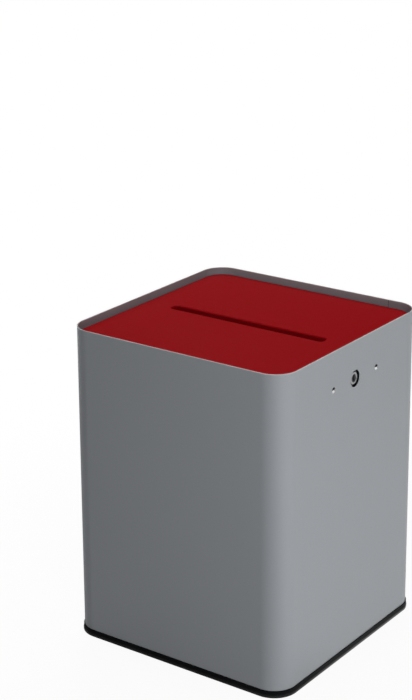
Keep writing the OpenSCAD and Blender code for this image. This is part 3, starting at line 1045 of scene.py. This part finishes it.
    @cached_property
    def sweep_tree(self) -> Tree:
        """Sweeps the base mesh's outline round a rectangle with round corners.

        Returns:
            The tree.
        """
        s, given, out = self._open_tree("sweep_round_plan", {
            "Plan Width": 0.3, "Plan Depth": 0.3, "Corner Radius": 0.03, "Corner Steps": 24})
        plan = s.add("GeometryNodeCurvePrimitiveQuadrilateral", {
            "Width": given["Plan Width"], "Height": given["Plan Depth"]})
        rounded = s.add("GeometryNodeFilletCurve", {
            "Curve": plan.outputs[0], "Radius": given["Corner Radius"], "Count": given["Corner Steps"]},
            mode="POLY")
        outline = s.add("GeometryNodeMeshToCurve", {"Mesh": given["Geometry"]})
        swept = s.add("GeometryNodeCurveToMesh", {
            "Curve": rounded.outputs[0], "Profile Curve": outline.outputs[0]})
        return self._close_tree(s, given, out, swept.outputs[0])

    @cached_property
    def spots_tree(self) -> Tree:
        """Stands a copy of a master on each vertex, its Z along the vertex's axis.

        Returns:
            The tree.
        """
        s, given, out = self._open_tree("copies_on_spots", {"Master": "Object"})
        axis = s.add("GeometryNodeInputNamedAttribute", {"Name": "axis"}, data_type="FLOAT_VECTOR")
        spin = s.add("GeometryNodeInputNamedAttribute", {"Name": "spin"}, data_type="FLOAT")
        turn = s.add("FunctionNodeAlignRotationToVector", {"Vector": axis.outputs[0]}, axis="Z")
        about = s.add("FunctionNodeAxisAngleToRotation", {"Axis": UP, "Angle": spin.outputs[0]})
        both = s.add("FunctionNodeRotateRotation", {
            "Rotation": turn.outputs[0], "Rotate By": about.outputs[0]}, rotation_space="LOCAL")
        return self._close_tree(s, given, out, self._stand(s, given, given["Geometry"], both.outputs[0]))

    @cached_property
    def row_tree(self) -> Tree:
        """Repeats a master along a straight row, its Z along the facing.

        Returns:
            The tree.
        """
        s, given, out = self._open_tree("row_of_copies", {
            "Master": "Object", "Count": 5, "Start": "Vector", "Step": "Vector", "Facing": "Vector"})
        row = s.add("GeometryNodeMeshLine", {
            "Count": given["Count"], "Start Location": given["Start"], "Offset": given["Step"]},
            mode="OFFSET")
        turn = s.add("FunctionNodeAlignRotationToVector", {"Vector": given["Facing"]}, axis="Z")
        return self._close_tree(s, given, out, self._stand(s, given, row.outputs[0], turn.outputs[0]))

    @cached_property
    def thread_tree(self) -> Tree:
        """Winds a thread's ridge about the Z axis.

        Returns:
            The tree.
        """
        s, given, out = self._open_tree("thread_ridge", {
            "Radius": 0.009, "Turns": 10.0, "Length": 0.01, "Ridge": 0.0005})
        wind = s.add("GeometryNodeCurveSpiral", {
            "Resolution": 40, "Rotations": given["Turns"], "Start Radius": given["Radius"],
            "End Radius": given["Radius"], "Height": given["Length"]})
        ridge = s.add("GeometryNodeCurvePrimitiveCircle", {"Resolution": 4, "Radius": given["Ridge"]})
        swept = s.add("GeometryNodeCurveToMesh", {
            "Curve": wind.outputs[0], "Profile Curve": ridge.outputs[0], "Fill Caps": True})
        return self._close_tree(s, given, out, swept.outputs[0])

    def grow(self, base: Mesh, tree: Tree, slot: Slot, values: dict) -> Object:
        """Runs a geometry tree on a base mesh and keeps its result as a plain mesh.

        Args:
            base: the mesh that the tree starts from.
            tree: the geometry tree.
            slot: the finish.
            values: the tree's own inputs, by name.

        Returns:
            The finished object.
        """
        made = self.scratch(base, "grown")
        step = made.modifiers.new("grow", "NODES")
        step.node_group = tree
        given = {**values, "Finish": self.finish(slot)}
        for item in tree.interface.items_tree:
            if item.in_out == "INPUT" and item.name in given:
                step[item.identifier] = given[item.name]
        return self.settle(made)

    def copies(self, master: BMesh, spots: Sequence[Spot], name: str, slot: Slot, body: str, *nodes: str,
               angle: float = 32.0, bevel: float = 0.0) -> None:
        """Stands copies of a master on spots and places them as one piece.

        Args:
            master: the master's mesh, standing on z = 0 and along +Z.
            spots: where the copies stand.
            name: the piece's name.
            slot: its finish.
            body: the body that it rides on.
            *nodes: the CAD nodes that it stands for.
            angle: edges sharper than this many degrees count as sharp.
            bevel: rounding of the master's edges, in millimetres.
        """
        model = self.smooth(master, angle, bevel)
        base = bpy.data.meshes.new("spots")
        base.from_pydata([tuple(Vector(spot.place) * MM) for spot in spots], [], [])
        base.attributes.new("axis", "FLOAT_VECTOR", "POINT")
        base.attributes.new("spin", "FLOAT", "POINT")
        for index, spot in enumerate(spots):
            base.attributes["axis"].data[index].vector = spot.axis
            base.attributes["spin"].data[index].value = spot.turn
        made = self.grow(base, self.spots_tree, slot, {"Master": model})
        self.drop(model)
        self.place(made, name, slot, body, *nodes)

    def rows(self, model: Object, rows: Sequence[Row], slot: Slot) -> Object:
        """Repeats a model along rows and drops it.

        Args:
            model: the model, standing on z = 0 and along +Z.
            rows: the rows.
            slot: the finish.

        Returns:
            One object with all the copies.
        """
        made = [self.grow(bpy.data.meshes.new("row"), self.row_tree, slot, {
            "Master": model, "Count": row.count, "Start": tuple(Vector(row.start) * MM),
            "Step": tuple(Vector(row.step) * MM), "Facing": tuple(Vector(row.facing))}) for row in rows]
        self.drop(model)
        return self.join(made) if len(made) > 1 else made[0]

    def weld_marks(self, rows: Sequence[Row], name: str, slot: Slot, body: str) -> None:
        """Places rows of spot weld marks as one piece.

        Args:
            rows: the rows.
            name: the piece's name.
            slot: its finish.
            body: the body that it rides on.
        """
        profile = [(0, 0.04), (1.3, 0.05), (1.9, 0.13), (2.4, 0.12), (2.8, 0.0), (0, 0.0)]
        dimple = self.smooth(spun(profile, 20))
        self.piece(self.rows(dimple, rows, slot), name, slot, body)


# ---------------------------------------------------------------- sub-assemblies


@dataclass
class Casing:
    """The wrapped sheet, its seam strip, the edge trim and the pressed floor with its guides."""

    shop: Workshop
    plan: RoundPlan = RoundPlan(2 * WALL, 2 * WALL, 33.0)
    foot: float = 2.0
    rim: float = 450.0
    seam_x: float = 121.0
    seam_gap: float = 0.6
    # heights of the dark seam fill: sealer, and painted shade for the seam's dark line
    sealer: Point2 = (423.0, 449.6)  # from the strip's top to just below the rim
    key_hole: float = 23.0
    trim_joint_x: float = -60.0
    tray_z: float = 9.0
    tray_edge: float = 14.0
    bend: float = 2.0
    guide_length: float = 60.0
    guide_height: float = 16.0
    guide_foot: float = 8.0
    guide_reach: Point2 = (139.0, 161.0)  # from the middle, along X and along Y

    def build(self) -> None:
        """Builds every piece of the casing."""
        self.shell()
        self.trim()
        self.tray()
        self.seam_strip()
        self.guides()
        self.weld_marks()

    def shell(self) -> None:
        """The sheet that makes the four walls, with its key hole and butt seam."""
        section = [(0, self.foot), (0, self.rim), (-SHEET, self.rim), (-SHEET, self.foot)]
        radius = self.key_hole / 2
        hole = on_lock_axis(spun([(0, -6), (radius, -6), (radius, 6), (0, 6)], 96), WALL_MIDDLE)
        slit = block((self.seam_x, WALL_MIDDLE, self.rim / 2), (self.seam_gap, 4, self.rim + 20))
        made = self.shop.carve(loft(self.plan, section, 28, False), [hole, slit])
        self.shop.piece(made, "casing_sheet", Slot.CASING_PAINT, "casing", "body_shell",
                        bevel=0.28, segments=3)

    def trim(self) -> None:
        """The extruded rubber that the sheet's foot stands in: a bead, a lip and an inner leg."""
        back, foot, bead, lip, top, meeting = -SHEET - 1.6, self.foot, 1.5, 0.65, 9.85, 57.77
        outline = ([(back + 0.2, 0.0), (0.5, 0.0)] + arc((0.5, bead), bead, -90, 0, 8)[1:]
                   + arc((0.5, 3.7), bead, 0, meeting, 6) + [(2 * lip, top)]
                   + arc((lip, top), lip, 0, 180, 10)[1:]
                   + [(0.0, foot), (-SHEET, foot), (-SHEET, 8.4)]
                   + arc((back + 0.8, 7.6), 0.8, 90, 180, 5) + [(back, 0.2)])
        base = bpy.data.meshes.new("trim_outline")
        count = len(outline)
        base.from_pydata([(x * MM, -y * MM, 0.0) for x, y in outline],
                         [(i, (i + 1) % count) for i in range(count)], [])
        swept = self.shop.grow(base, self.shop.sweep_tree, Slot.TRIM_RUBBER, {
            "Plan Width": self.plan.width * MM, "Plan Depth": self.plan.depth * MM,
            "Corner Radius": self.plan.radius * MM, "Corner Steps": 28})
        joint = block((self.trim_joint_x, 172, 6), (0.25, 14, 16))
        made = self.shop.carve(reworked(swept, tidy), [joint])
        self.shop.piece(made, "foot_trim", Slot.TRIM_RUBBER, "casing", "edge_trim", angle=40)

    def tray(self) -> None:
        """The pressed floor, its edge turned up against the walls."""
        z, b, t = self.tray_z, self.bend, SHEET
        top = z + self.tray_edge
        path = ([(-b, z)] + arc((-b, z + b), b, -90, 0, 8)[1:]
                + [(0, top - 0.2), (-0.2, top), (-t + 0.2, top), (-t, top - 0.2)]
                + arc((-b, z + b), b - t, 0, -90, 6))
        made = loft(self.plan.grown(-t), path, 16, True)
        self.shop.piece(made, "floor_tray", Slot.ZINC_SHEET, "casing", "base_tray")

    def seam_strip(self) -> None:
        """The strip behind the butt seam, and above the strip a sealer in the seam, made dark as painted
        shade.
        """
        self.shop.refine("seam_strip", "seam_backing", Slot.CASING_PAINT, "casing")
        low, high = self.sealer
        # dark rubber fill in the seam: sealer, and painted shade that draws the seam's dark line
        fill = block((self.seam_x, WALL_MIDDLE, (low + high) / 2), (self.seam_gap, 0.8, high - low))
        self.shop.piece(fill, "seam_sealer", Slot.BUFFER_RUBBER, "casing")

    def guides(self) -> None:
        """Four bent angles on the floor that centre the container."""
        h, w, t, r = self.guide_height, self.guide_foot, SHEET, self.bend
        outline = ([(0, h), (0, r)] + arc((r, r), r, 180, 270, 6)[1:] + [(w, 0), (w, t)]
                   + arc((r, r), r - t, 270, 180, 6) + [(t, h)])
        floor, spots = self.tray_z + t, []
        for index in range(4):
            reach, turn = self.guide_reach[index % 2], index * math.pi / 2
            spots.append(Spot((reach * math.cos(turn), reach * math.sin(turn), floor), turn=turn))
        self.shop.copies(rail(outline, self.guide_length, "Y"), spots, "container_guides",
                         Slot.ZINC_SHEET, "casing", "liner_guides", bevel=0.25)

    def weld_marks(self) -> None:
        """Spot welds: the seam strip's two rows, and the floor's upturned edge."""
        inner, edge = WALL_LINED, 18
        seam = [Row((self.seam_x + off, inner, 44), (0, 0, 45), 9, (0, -1, 0)) for off in (-7.0, 7.0)]
        self.shop.weld_marks(seam, "seam_weld_marks", Slot.CASING_PAINT, "casing")
        floor = [Row((-120, side * inner, edge), (60, 0, 0), 5, (0, -side, 0)) for side in SIDES]
        floor += [Row((side * inner, -120, edge), (0, 60, 0), 5, (-side, 0, 0)) for side in SIDES]
        self.shop.weld_marks(floor, "floor_weld_marks", Slot.ZINC_SHEET, "casing")


@dataclass
class Ledges:
    """The lock's bracket, the rear ledge, their blind rivets and the lid's rubber buffers."""

    shop: Workshop
    work: float = 2.7  # thickness of the sheets that a rivet holds
    buffer_side: float = 12.0
    buffer_height: float = 3.0
    buffer_x: float = 164.55
    ledge_z: float = 423.5

    def build(self) -> None:
        """Builds every piece that the lid and the lock are carried by."""
        self.shop.refine("lock_bracket", "lock_carrier", Slot.PLATED_STEEL, "casing", 25)
        self.shop.refine("rear_ledge", "rear_carrier", Slot.PLATED_STEEL, "casing")
        self.rivets()
        self.buffers()

    def rivets(self) -> None:
        """Four domed blind rivets, two in each X wall."""
        dome_radius, sunk = 5, 3
        dome = [(dome_radius * math.sin(a), dome_radius * math.cos(a) - sunk)
                for a in map(math.radians, (12.2, 18, 25, 32, 39, 45, 49.5, 52))]
        back = -self.work
        profile = ([(0, 1.25), (0.75, 1.2), (0.8, 0.95), (0.98, 0.95), (1.0, 1.82)] + dome
                   + [(4.0, 0.08), (4.0, 0.0), (2.0, 0.0), (2.0, back), (3.15, back - 0.05),
                      (3.1, back - 0.9), (2.6, back - 2.4), (2.0, back - 3.9),
                      (0.9, back - 3.95), (0, back - 3.95)])
        spots = [Spot((x * WALL, y * RIVET_Y, LOCK_Z), (x, 0, 0)) for x, y in CORNERS]
        self.shop.copies(spun(profile, 40), spots, "wall_rivets", Slot.RIVET_METAL, "casing",
                         "bracket_rivets", "ledge_rivets", angle=40)

    def buffers(self) -> None:
        """Four moulded pads."""
        h = self.buffer_height
        pad = loft(RoundPlan(self.buffer_side, self.buffer_side, 3.0),
                   [(-0.3, 0), (0, 0.3), (0, h - 0.8)] + arc((-0.8, h - 0.8), 0.8, 0, 90, 4)[1:]
                   + [(-2.6, h), (-2.9, h - 0.35)], 6, True)
        spots = [Spot((x * self.buffer_x, y * RIVET_Y, self.ledge_z)) for x, y in CORNERS]
        self.shop.copies(pad, spots, "lid_pads", Slot.BUFFER_RUBBER, "casing", "lid_buffers", angle=40)


@dataclass
class Lock:
    """The cam lock: barrel, nut and washer on the casing, plug, cam and screw on the turning core."""

    shop: Workshop
    back_x: float = 151.0  # the barrel's back end
    face_x: float = 171.0  # the nose's face
    web_x: float = 165.5  # the bracket's inner face, which the washer lies on
    cam_x: float = 148.7  # the cam's back face
    shank: float = 16.0
    shank_radius: float = 8.6
    bore: float = 5.25
    flats: float = 8.0

    def build(self) -> None:
        """Builds the lock."""
        self.barrel()
        self.nut()
        self.plug()
        self.shop.refine("lock_cam", "cam_blade", Slot.PLATED_STEEL, "lock_core")
        self.cam_fixing()

    def barrel(self) -> None:
        """Nose, head and barrel, with a thread that two flats cut."""
        length, head, nose, face = self.shank, 11.0, 8.8, self.face_x - self.back_x
        bore, shank = self.bore, self.shank_radius
        profile = ([(bore, 0.3), (bore + 0.3, 0.0), (shank, 0.0), (shank, length), (head - 0.3, length),
                    (head, length + 0.3)] + arc((head - 0.3, length + 1.7), 0.3, 0, 90, 4)
                   + [(nose, length + 2.0)] + arc((nose - 0.7, face - 0.7), 0.7, 0, 90, 6)
                   + [(bore + 0.4, face), (bore, face - 0.4)])
        core = self.shop.scratch(on_lock_axis(spun(profile, 72, closed=True), self.back_x))
        ridge = self.shop.grow(bpy.data.meshes.new("ridge"), self.shop.thread_tree, Slot.LOCK_METAL, {
            "Radius": (shank + 0.02) * MM, "Turns": 14.0, "Length": 14.0 * MM, "Ridge": 0.6 * MM})
        reworked(ridge, lambda mesh: tidy(on_lock_axis(mesh, self.back_x + 1.0)))
        made = self.shop.join([core, ridge])
        low, high = (LOCK_Z - self.flats) * MM, (LOCK_Z + self.flats) * MM
        for vertex in made.data.vertices:
            if vertex.co.x < (self.back_x + length - 0.01) * MM:
                vertex.co.z = min(max(vertex.co.z, low), high)
        self.shop.piece(made, "lock_body", Slot.LOCK_METAL, "casing", "lock_barrel", angle=30)

    @staticmethod
    def hexagon(across: float) -> Callable[[float, float], float]:
        """Makes the radius rule of a hexagon with turned-down corners.

        Args:
            across: the width across the flats.

        Returns:
            The radius at an angle, for spun.
        """
        def rule(angle: float, radius: float) -> float:
            """Returns the radius that a point of the profile gets at an angle."""
            if radius < across / 2 - 1.0:
                return radius
            inside = (angle + math.pi / 6) % (math.pi / 3) - math.pi / 6
            return min(across / 2 / math.cos(inside), radius)
        return rule

    @staticmethod
    def washer(hole: float, rim: float) -> list[Point2]:
        """Returns the section of a washer 1 mm thick, from the radii of its hole and its rim."""
        return [(hole, 0.0), (rim - 0.2, 0.0), (rim, 0.2), (rim, 0.8), (rim - 0.2, 1.0), (hole, 1.0)]

    def nut(self) -> None:
        """The nut with chamfered corners, and its washer."""
        across, hole, face = 24.0, 9.3, 11.6
        corner = across / 2 / math.cos(math.pi / 6)
        profile = [(hole, 0.0), (face, 0.0), (corner, 1.1), (corner, 2.9), (face, 4.0), (hole, 4.0)]
        nut = on_lock_axis(spun(profile, 72, True, self.hexagon(across)), self.web_x - 5.0)
        self.shop.piece(nut, "clamp_nut", Slot.LOCK_METAL, "casing", "lock_nut", angle=24)
        ring = on_lock_axis(spun(self.washer(9.35, 12.0), 64, True), self.web_x - 1.0)
        self.shop.piece(ring, "clamp_washer", Slot.PLATED_STEEL, "casing", "lock_washer")

    def plug(self) -> None:
        """The plug with its keyway, the square that drives the cam, and the wafers in the keyway."""
        start, face = self.cam_x + 2.0, self.face_x - 0.6
        length = face - start
        profile = [(0, 0), (4.9, 0), (5.2, 0.3), (5.2, length - 0.3), (4.9, length), (0, length)]
        tang = block((self.cam_x + 1.1, 0, LOCK_Z), (2.2, 7, 7))
        made = self.shop.carve(on_lock_axis(spun(profile, 56), start), [tang], "UNION")
        outline = [(-1.2, -3.8), (-0.2, -3.8), (-0.2, -3.2), (1.2, -3.2), (1.2, 0.3), (0.5, 0.7),
                   (0.5, 1.7), (1.2, 2.1), (1.2, 3.8), (-1.2, 3.8), (-1.2, 1.4), (-0.7, 1.0),
                   (-0.7, -1.1), (-1.2, -1.5)]
        keyway = on_lock_axis(extruded([(-z, y) for y, z in outline], 12.0), face - 11.0)
        screw_hole = on_lock_axis(spun([(0, -1), (2.55, -1), (2.55, 6), (0, 6)], 32), self.cam_x)
        self.shop.carve(made, [keyway, screw_hole])
        self.shop.piece(made, "key_plug", Slot.PLUG_METAL, "lock_core", "lock_plug")
        wafer = extruded([(-3.0, -1.15), (-0.9, -1.15), (-0.9, 1.15), (-3.0, 1.15)], 0.5)
        row = Row((face - 9.6, 0, LOCK_Z), (2.0, 0, 0), 5, (1, 0, 0))
        wafers = self.shop.rows(self.shop.smooth(wafer, bevel=0.08), [row], Slot.RIVET_METAL)
        self.shop.place(wafers, "key_wafers", Slot.RIVET_METAL, "lock_core")

    def cam_fixing(self) -> None:
        """The screw and washer that hold the cam."""
        ring = on_lock_axis(spun(self.washer(2.6, 6.0), 40, True), self.cam_x - 1)
        self.shop.piece(ring, "cam_disc", Slot.PLATED_STEEL, "lock_core", "cam_washer")
        across, shank = 8.0, 2.5
        corner = across / 2 / math.cos(math.pi / 6)
        profile = [(0, 0.35), (2.2, 0.35), (2.6, 0.0), (3.6, 0.0), (corner, 0.7), (corner, 3.0),
                   (shank, 3.0), (shank, 8.0), (0, 8.0)]
        screw = on_lock_axis(spun(profile, 48, False, self.hexagon(across)), self.cam_x - 4)
        self.shop.piece(screw, "cam_bolt", Slot.PLATED_STEEL, "lock_core", "cam_screw", angle=24)


@dataclass
class Lid:
    """The pressed lid with its slot, the channels under it and the catch."""

    shop: Workshop
    plan: RoundPlan = RoundPlan(338.6, 338.6, 29.3)
    slot: RoundPlan = RoundPlan(250.0, 15.0, 5.0)
    face: float = 440.5
    bend: float = 2.0
    skirt: float = 14.0
    lip: float = 9.0
    channel_y: float = 75.0
    channel_length: float = 260.0
    channel_width: float = 22.0
    channel_depth: float = 9.0
    catch_sheet: float = 1.5

    def build(self) -> None:
        """Builds the lid."""
        self.panel()
        self.channels()
        self.shop.refine("catch_plate", "lid_catch", Slot.PLATED_STEEL, "lid")
        marks = Row((138.5, 20, self.face - SHEET - self.catch_sheet), (0, 12, 0), 2, (0, 0, -1))
        self.shop.weld_marks([marks], "catch_weld_marks", Slot.PLATED_STEEL, "lid")

    def panel(self) -> None:
        """One closed skin: slot lips, flat top, bend and skirt, and back along the inside."""
        top, b, t = self.face, self.bend, SHEET
        low, lip = top - self.skirt, top - self.lip
        over = rings_of(self.slot, [(0.2, lip), (0, lip + 0.2)] + arc((b, top - b), b, 180, 90, 8))
        round_skirt = rings_of(self.plan, arc((-b, top - b), b, 90, 0, 10)
                               + [(0, low + 0.2), (-0.2, low), (-t + 0.2, low), (-t, low + 0.2)]
                               + arc((-b, top - b), b - t, 0, 90, 6))
        under = rings_of(self.slot, arc((b, top - b), b - t, 90, 180, 6)
                         + [(t, lip + 0.2), (t - 0.2, lip)])
        made = loft_plans(over + round_skirt + under, 20, False)
        self.shop.piece(made, "lid_skin", Slot.LID_PAINT, "lid", "lid_panel")

    def channels(self) -> None:
        """Two stiffening channels, beside the slot."""
        w, h, t, r = self.channel_width / 2, self.channel_depth, 1.0, 2.2
        outline = ([(-w, h), (-w, r)] + arc((-w + r, r), r, 180, 270, 6)[1:]
                   + arc((w - r, r), r, 270, 360, 6) + [(w, h), (w - t, h)]
                   + arc((w - r, r), r - t, 0, -90, 6)
                   + arc((-w + r, r), r - t, 270, 180, 6) + [(-w + t, h)])
        spots = [Spot((0, y * self.channel_y, self.face - SHEET - h)) for y in SIDES]
        self.shop.copies(rail(outline, self.channel_length, "X"), spots, "lid_channels", Slot.LID_PAINT,
                         "lid", "lid_stiffeners", bevel=0.2)


@dataclass
class Container:
    """The lift-out container with its rolled rim, handle clips and two wire handles."""

    shop: Workshop
    plan: RoundPlan = RoundPlan(276.0, 320.0, 22.0)
    sheet: float = 0.8
    floor: float = 10.2
    bend: float = 4.0
    rim_z: float = 377.0
    rim_radius: float = 3.0
    pivot_y: float = 155.45
    pivot_z: float = 362.0
    wire: float = 2.5
    clip_sheet: float = 1.2
    clip_radius: float = 3.75  # outer radius round the wire
    clip_x: float = 61.5
    clip_length: float = 12.0
    clip_drop: float = 27.75  # from the pivot down to the clip's foot
    handle_half: float = 52.0
    handle_length: float = 42.0
    handle_bend: float = 10.0
    pivot_end: float = 68.0

    def build(self) -> None:
        """Builds the container."""
        self.tub()
        self.clips()
        self.clip_rivets()
        self.handle(-1, "front_wire_handle", "front_bail", "front_handle")
        self.handle(1, "back_wire_handle", "back_bail", "back_handle")

    def tub(self) -> None:
        """The pressed tub whose edge is rolled over a wire."""
        z, b, t, r = self.floor, self.bend, self.sheet, self.rim_radius
        middle, end = (r - t, self.rim_z), -118
        path = ([(-b, z)] + arc((-b, z + b), b, -90, 0, 8)[1:] + arc(middle, r - t, 180, end, 22)
                + arc(middle, r, end, 180, 26) + arc((-b, z + b), b - t, 0, -90, 8))
        made = loft(self.plan, path, 16, True)
        self.shop.piece(made, "container_tub", Slot.ZINC_SHEET, "container", "liner_shell", angle=40)

    def clips(self) -> None:
        """Four straps bent round the handles' pivots and riveted to the tub."""
        r, t, wrap = self.clip_radius, self.clip_sheet, 292
        outline = ([(r, -self.clip_drop)] + arc((0, 0), r, 0, wrap, 30) + arc((0, 0), r - t, wrap, 0, 30)
                   + [(r - t, -self.clip_drop)])
        spots = [Spot((x * self.clip_x, y * self.pivot_y, self.pivot_z), turn=0.0 if y > 0 else math.pi)
                 for x, y in CORNERS]
        self.shop.copies(rail(outline, self.clip_length, "X"), spots, "handle_straps", Slot.PLATED_STEEL,
                         "container", "handle_clips", bevel=0.2)

    def clip_rivets(self) -> None:
        """Eight small rivets, domed on both sides."""
        work, head, width, shank = self.sheet + self.clip_sheet, 1.05, 3.2, 1.6
        dome = [(width * math.cos(a), head * math.sin(a)) for a in map(math.radians, (0, 25, 45, 65))]
        profile = ([(0.0, -head)] + [(x, -z) for x, z in reversed(dome)] + [(shank, 0.0), (shank, work)]
                   + [(x, work + z) for x, z in dome] + [(0.0, work + head)])
        top = self.pivot_z - self.clip_radius
        spots = [Spot((x * self.clip_x, y * self.plan.depth / 2, top - down), (0, -y, 0))
                 for x, y in CORNERS for down in (3.6, 15.6)]
        self.shop.copies(spun(profile, 24), spots, "strap_rivets", Slot.RIVET_METAL, "container",
                         "clip_rivets", angle=40)

    def handle(self, side: int, name: str, body: str, node: str) -> None:
        """One bent wire handle: pivots, legs and grip.

        Args:
            side: -1 for the front wall, 1 for the back wall.
            name: the piece's name.
            body: the body that it rides on.
            node: the CAD node that it replaces.
        """
        leg, low, turn = self.handle_half, -self.handle_length, self.wire + 1
        corners = [(self.pivot_end, 0), (leg, 0), (leg, low),
                   (-leg, low), (-leg, 0), (-self.pivot_end, 0)]
        points = [Vector((x, side * self.pivot_y, self.pivot_z + z)) for x, z in corners]
        mesh = bent_wire(points, [turn, self.handle_bend, self.handle_bend, turn], self.wire)
        self.shop.piece(mesh, name, Slot.HANDLE_WIRE, body, node, angle=40)


# ---------------------------------------------------------------- studio


@dataclass(frozen=True)
class Lamp:
    """A square soft lamp: where it hangs, where it looks, its side in metres and its power in watts."""

    name: str
    place: Triple
    target: Triple
    size: float
    power: float

    def hang(self) -> None:
        """Adds the lamp to the scene."""
        data = bpy.data.lights.new(self.name, "AREA")
        data.shape, data.size, data.energy = "SQUARE", self.size, self.power
        made = linked(self.name, data)
        turn = (Vector(self.place) - Vector(self.target)).to_track_quat("Z", "Y").to_matrix().to_4x4()
        turn.translation = Vector(self.place)
        made.matrix_world = turn
        made.visible_camera, made.visible_glossy = False, False


@dataclass
class Studio:
    """The pale floor, the white surround, the lamps and the camera."""

    aim: Triple = (-0.04418, -0.03226, 0.55124)
    azimuth: float = 35.89
    elevation: float = 16.361
    roll: float = -0.383
    distance: float = 2.49523
    lens: float = 95.607
    shift: float = -0.15
    ambient: float = 0.03
    lamps: tuple[Lamp, ...] = (
        Lamp("key_lamp", (0.9, -1.0, 0.42), (0.1, -0.1, 0.2), 0.35, 3.0),
        Lamp("side_lamp", (2.17, 0.12, 0.25), (0.0, 0.0, 0.1), 0.42, 9.3),
        Lamp("low_lamp", (1.85, -1.3, 0.38), (0.0, 0.0, 0.2), 0.42, 8.2),
        Lamp("front_lamp", (2.0, -1.7, 1.6), (0.0, 0.0, 0.4), 0.6, 9.0),
        Lamp("floor_lamp", (0.95, 0.2, 0.06), (0.17, 0.08, 0.05), 0.1, 0.8),
        Lamp("left_lamp", (-2.2, 0.35, 0.35), (-0.17, -0.1, 0.25), 0.4, 32.0),
        Lamp("top_lamp", (0.5, -0.1, 2.5), (0.0, 0.0, 0.3), 1.4, 11.8),
        Lamp("top_front_lamp", (0.3, -1.4, 2.3), (0.0, 0.0, 0.3), 1.4, 11.5),
        Lamp("top_back_lamp", (-0.6, 1.4, 2.3), (0.0, 0.0, 0.3), 1.4, 19.1),
        Lamp("back_lamp", (-1.5, 1.7, 1.8), (0.0, 0.0, 0.3), 1.0, 21.0),
    )

    def build(self) -> None:
        """Builds the studio."""
        self.camera()
        self.surround()
        self.floor()
        for lamp in self.lamps:
            lamp.hang()

    def camera(self) -> None:
        """The camera, at the photograph's viewing angle."""
        az, el, roll = (math.radians(v) for v in (self.azimuth, self.elevation, self.roll))
        back = Vector((math.sin(az) * math.cos(el), -math.cos(az) * math.cos(el), math.sin(el)))
        right = (-back).cross(Vector(UP)).normalized()
        up = right.cross(-back)
        across = right * math.cos(roll) + up * math.sin(roll)
        above = up * math.cos(roll) - right * math.sin(roll)
        data = bpy.data.cameras.new("camera")
        data.lens, data.sensor_width, data.shift_y = self.lens, 36.0, self.shift
        data.clip_start, data.clip_end = 0.05, 60.0
        made = linked("camera", data)
        matrix = Matrix((across, above, back)).transposed().to_4x4()
        matrix.translation = Vector(self.aim) + back * self.distance
        made.matrix_world = matrix
        bpy.context.scene.camera = made

    def surround(self) -> None:
        """White where the camera looks, and a dark ceiling for gloss; the rest is soft light."""
        world = bpy.data.worlds.new("surround")
        bpy.context.scene.world = world
        s = blank(world)
        rays = s.add("ShaderNodeLightPath").outputs
        gloss = s.ramp(s.height(s.add("ShaderNodeTexCoord").outputs["Generated"]), 0.0, 0.16, 0.08, 0.03)
        seen = s.math("MAXIMUM", rays["Is Camera Ray"], rays["Is Transmission Ray"])
        soft = s.plus(self.ambient, s.product(rays["Is Glossy Ray"], s.less(gloss, self.ambient)))
        strength = s.plus(s.product(seen, s.less(1.0, soft)), soft)
        light = s.add("ShaderNodeBackground", {"Color": WHITE, "Strength": strength})
        s.add("ShaderNodeOutputWorld", {"Surface": light.outputs[0]})

    def floor(self) -> None:
        """A wide pale floor that keeps the object's shadow. In reflections it glows, dim on one side and
        bright on the other, as painted light.
        """
        mesh = bmesh.new()
        bmesh.ops.create_grid(mesh, x_segments=4, y_segments=4, size=6.0)
        made = linked("studio_floor", to_data(mesh, "studio_floor"))
        material = bpy.data.materials.new("pale_floor")
        s = blank(material)
        rays = s.add("ShaderNodeLightPath").outputs
        place = s.add("ShaderNodeTexCoord").outputs["Object"]
        bounce = s.ramp(s.noise(place, 3.0), 0.3, 0.7, 0.24, 0.26)
        paint = s.add("ShaderNodeBsdfDiffuse", {
            "Color": s.plus(bounce, s.product(rays["Is Camera Ray"], 0.6))})
        white = s.add("ShaderNodeEmission", {"Color": WHITE, "Strength": 1.0})
        away = s.vector("LENGTH", {0: place}, "Value")
        share = s.ramp(away, 0.45, 1.1, 0.93, 1.0)
        # painted light: in reflections the floor glows, bright on the side towards +X and +Y and dim on
        # the other
        beside = s.vector("DOT_PRODUCT", {0: place, 1: (0.59, 0.81, 0.0)}, "Value")
        painted_floor_glow = s.ramp(beside, -0.12, 0.16, 0.05, 0.9)
        seen = s.plus(s.product(rays["Is Camera Ray"], share), s.product(rays["Is Glossy Ray"], painted_floor_glow))
        mixed = s.add("ShaderNodeMixShader", {0: seen, 1: paint.outputs[0], 2: white.outputs[0]})
        below = s.add("ShaderNodeNewGeometry").outputs["Backfacing"]
        clear = s.add("ShaderNodeBsdfTransparent").outputs[0]
        open_below = s.add("ShaderNodeMixShader", {0: below, 1: mixed.outputs[0], 2: clear})
        s.add("ShaderNodeOutputMaterial", {"Surface": open_below.outputs[0]})
        made.data.materials.append(material)


def main() -> None:
    """Builds the console on its frame, and logs how many pieces it made."""
    logging.basicConfig(level=logging.INFO, format="%(name)s %(message)s")
    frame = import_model()
    bpy.context.scene.view_settings.view_transform = "Standard"
    shop = Workshop(frame)
    for entry in frame["record"]["subparts"]:
        node = frame["nodes"][entry["node"]]
        finish = shop.finish(Slot[entry["material_slot"].upper()])
        if not node.material_slots:
            node.data.materials.append(finish)
        for holder in node.material_slots:
            holder.material = finish
    Studio().build()
    for assembly in (Casing(shop), Ledges(shop), Lock(shop), Lid(shop), Container(shop)):
        assembly.build()
    LOG.info("%d pieces", len(shop.made))


if __name__ == "__main__":
    main()
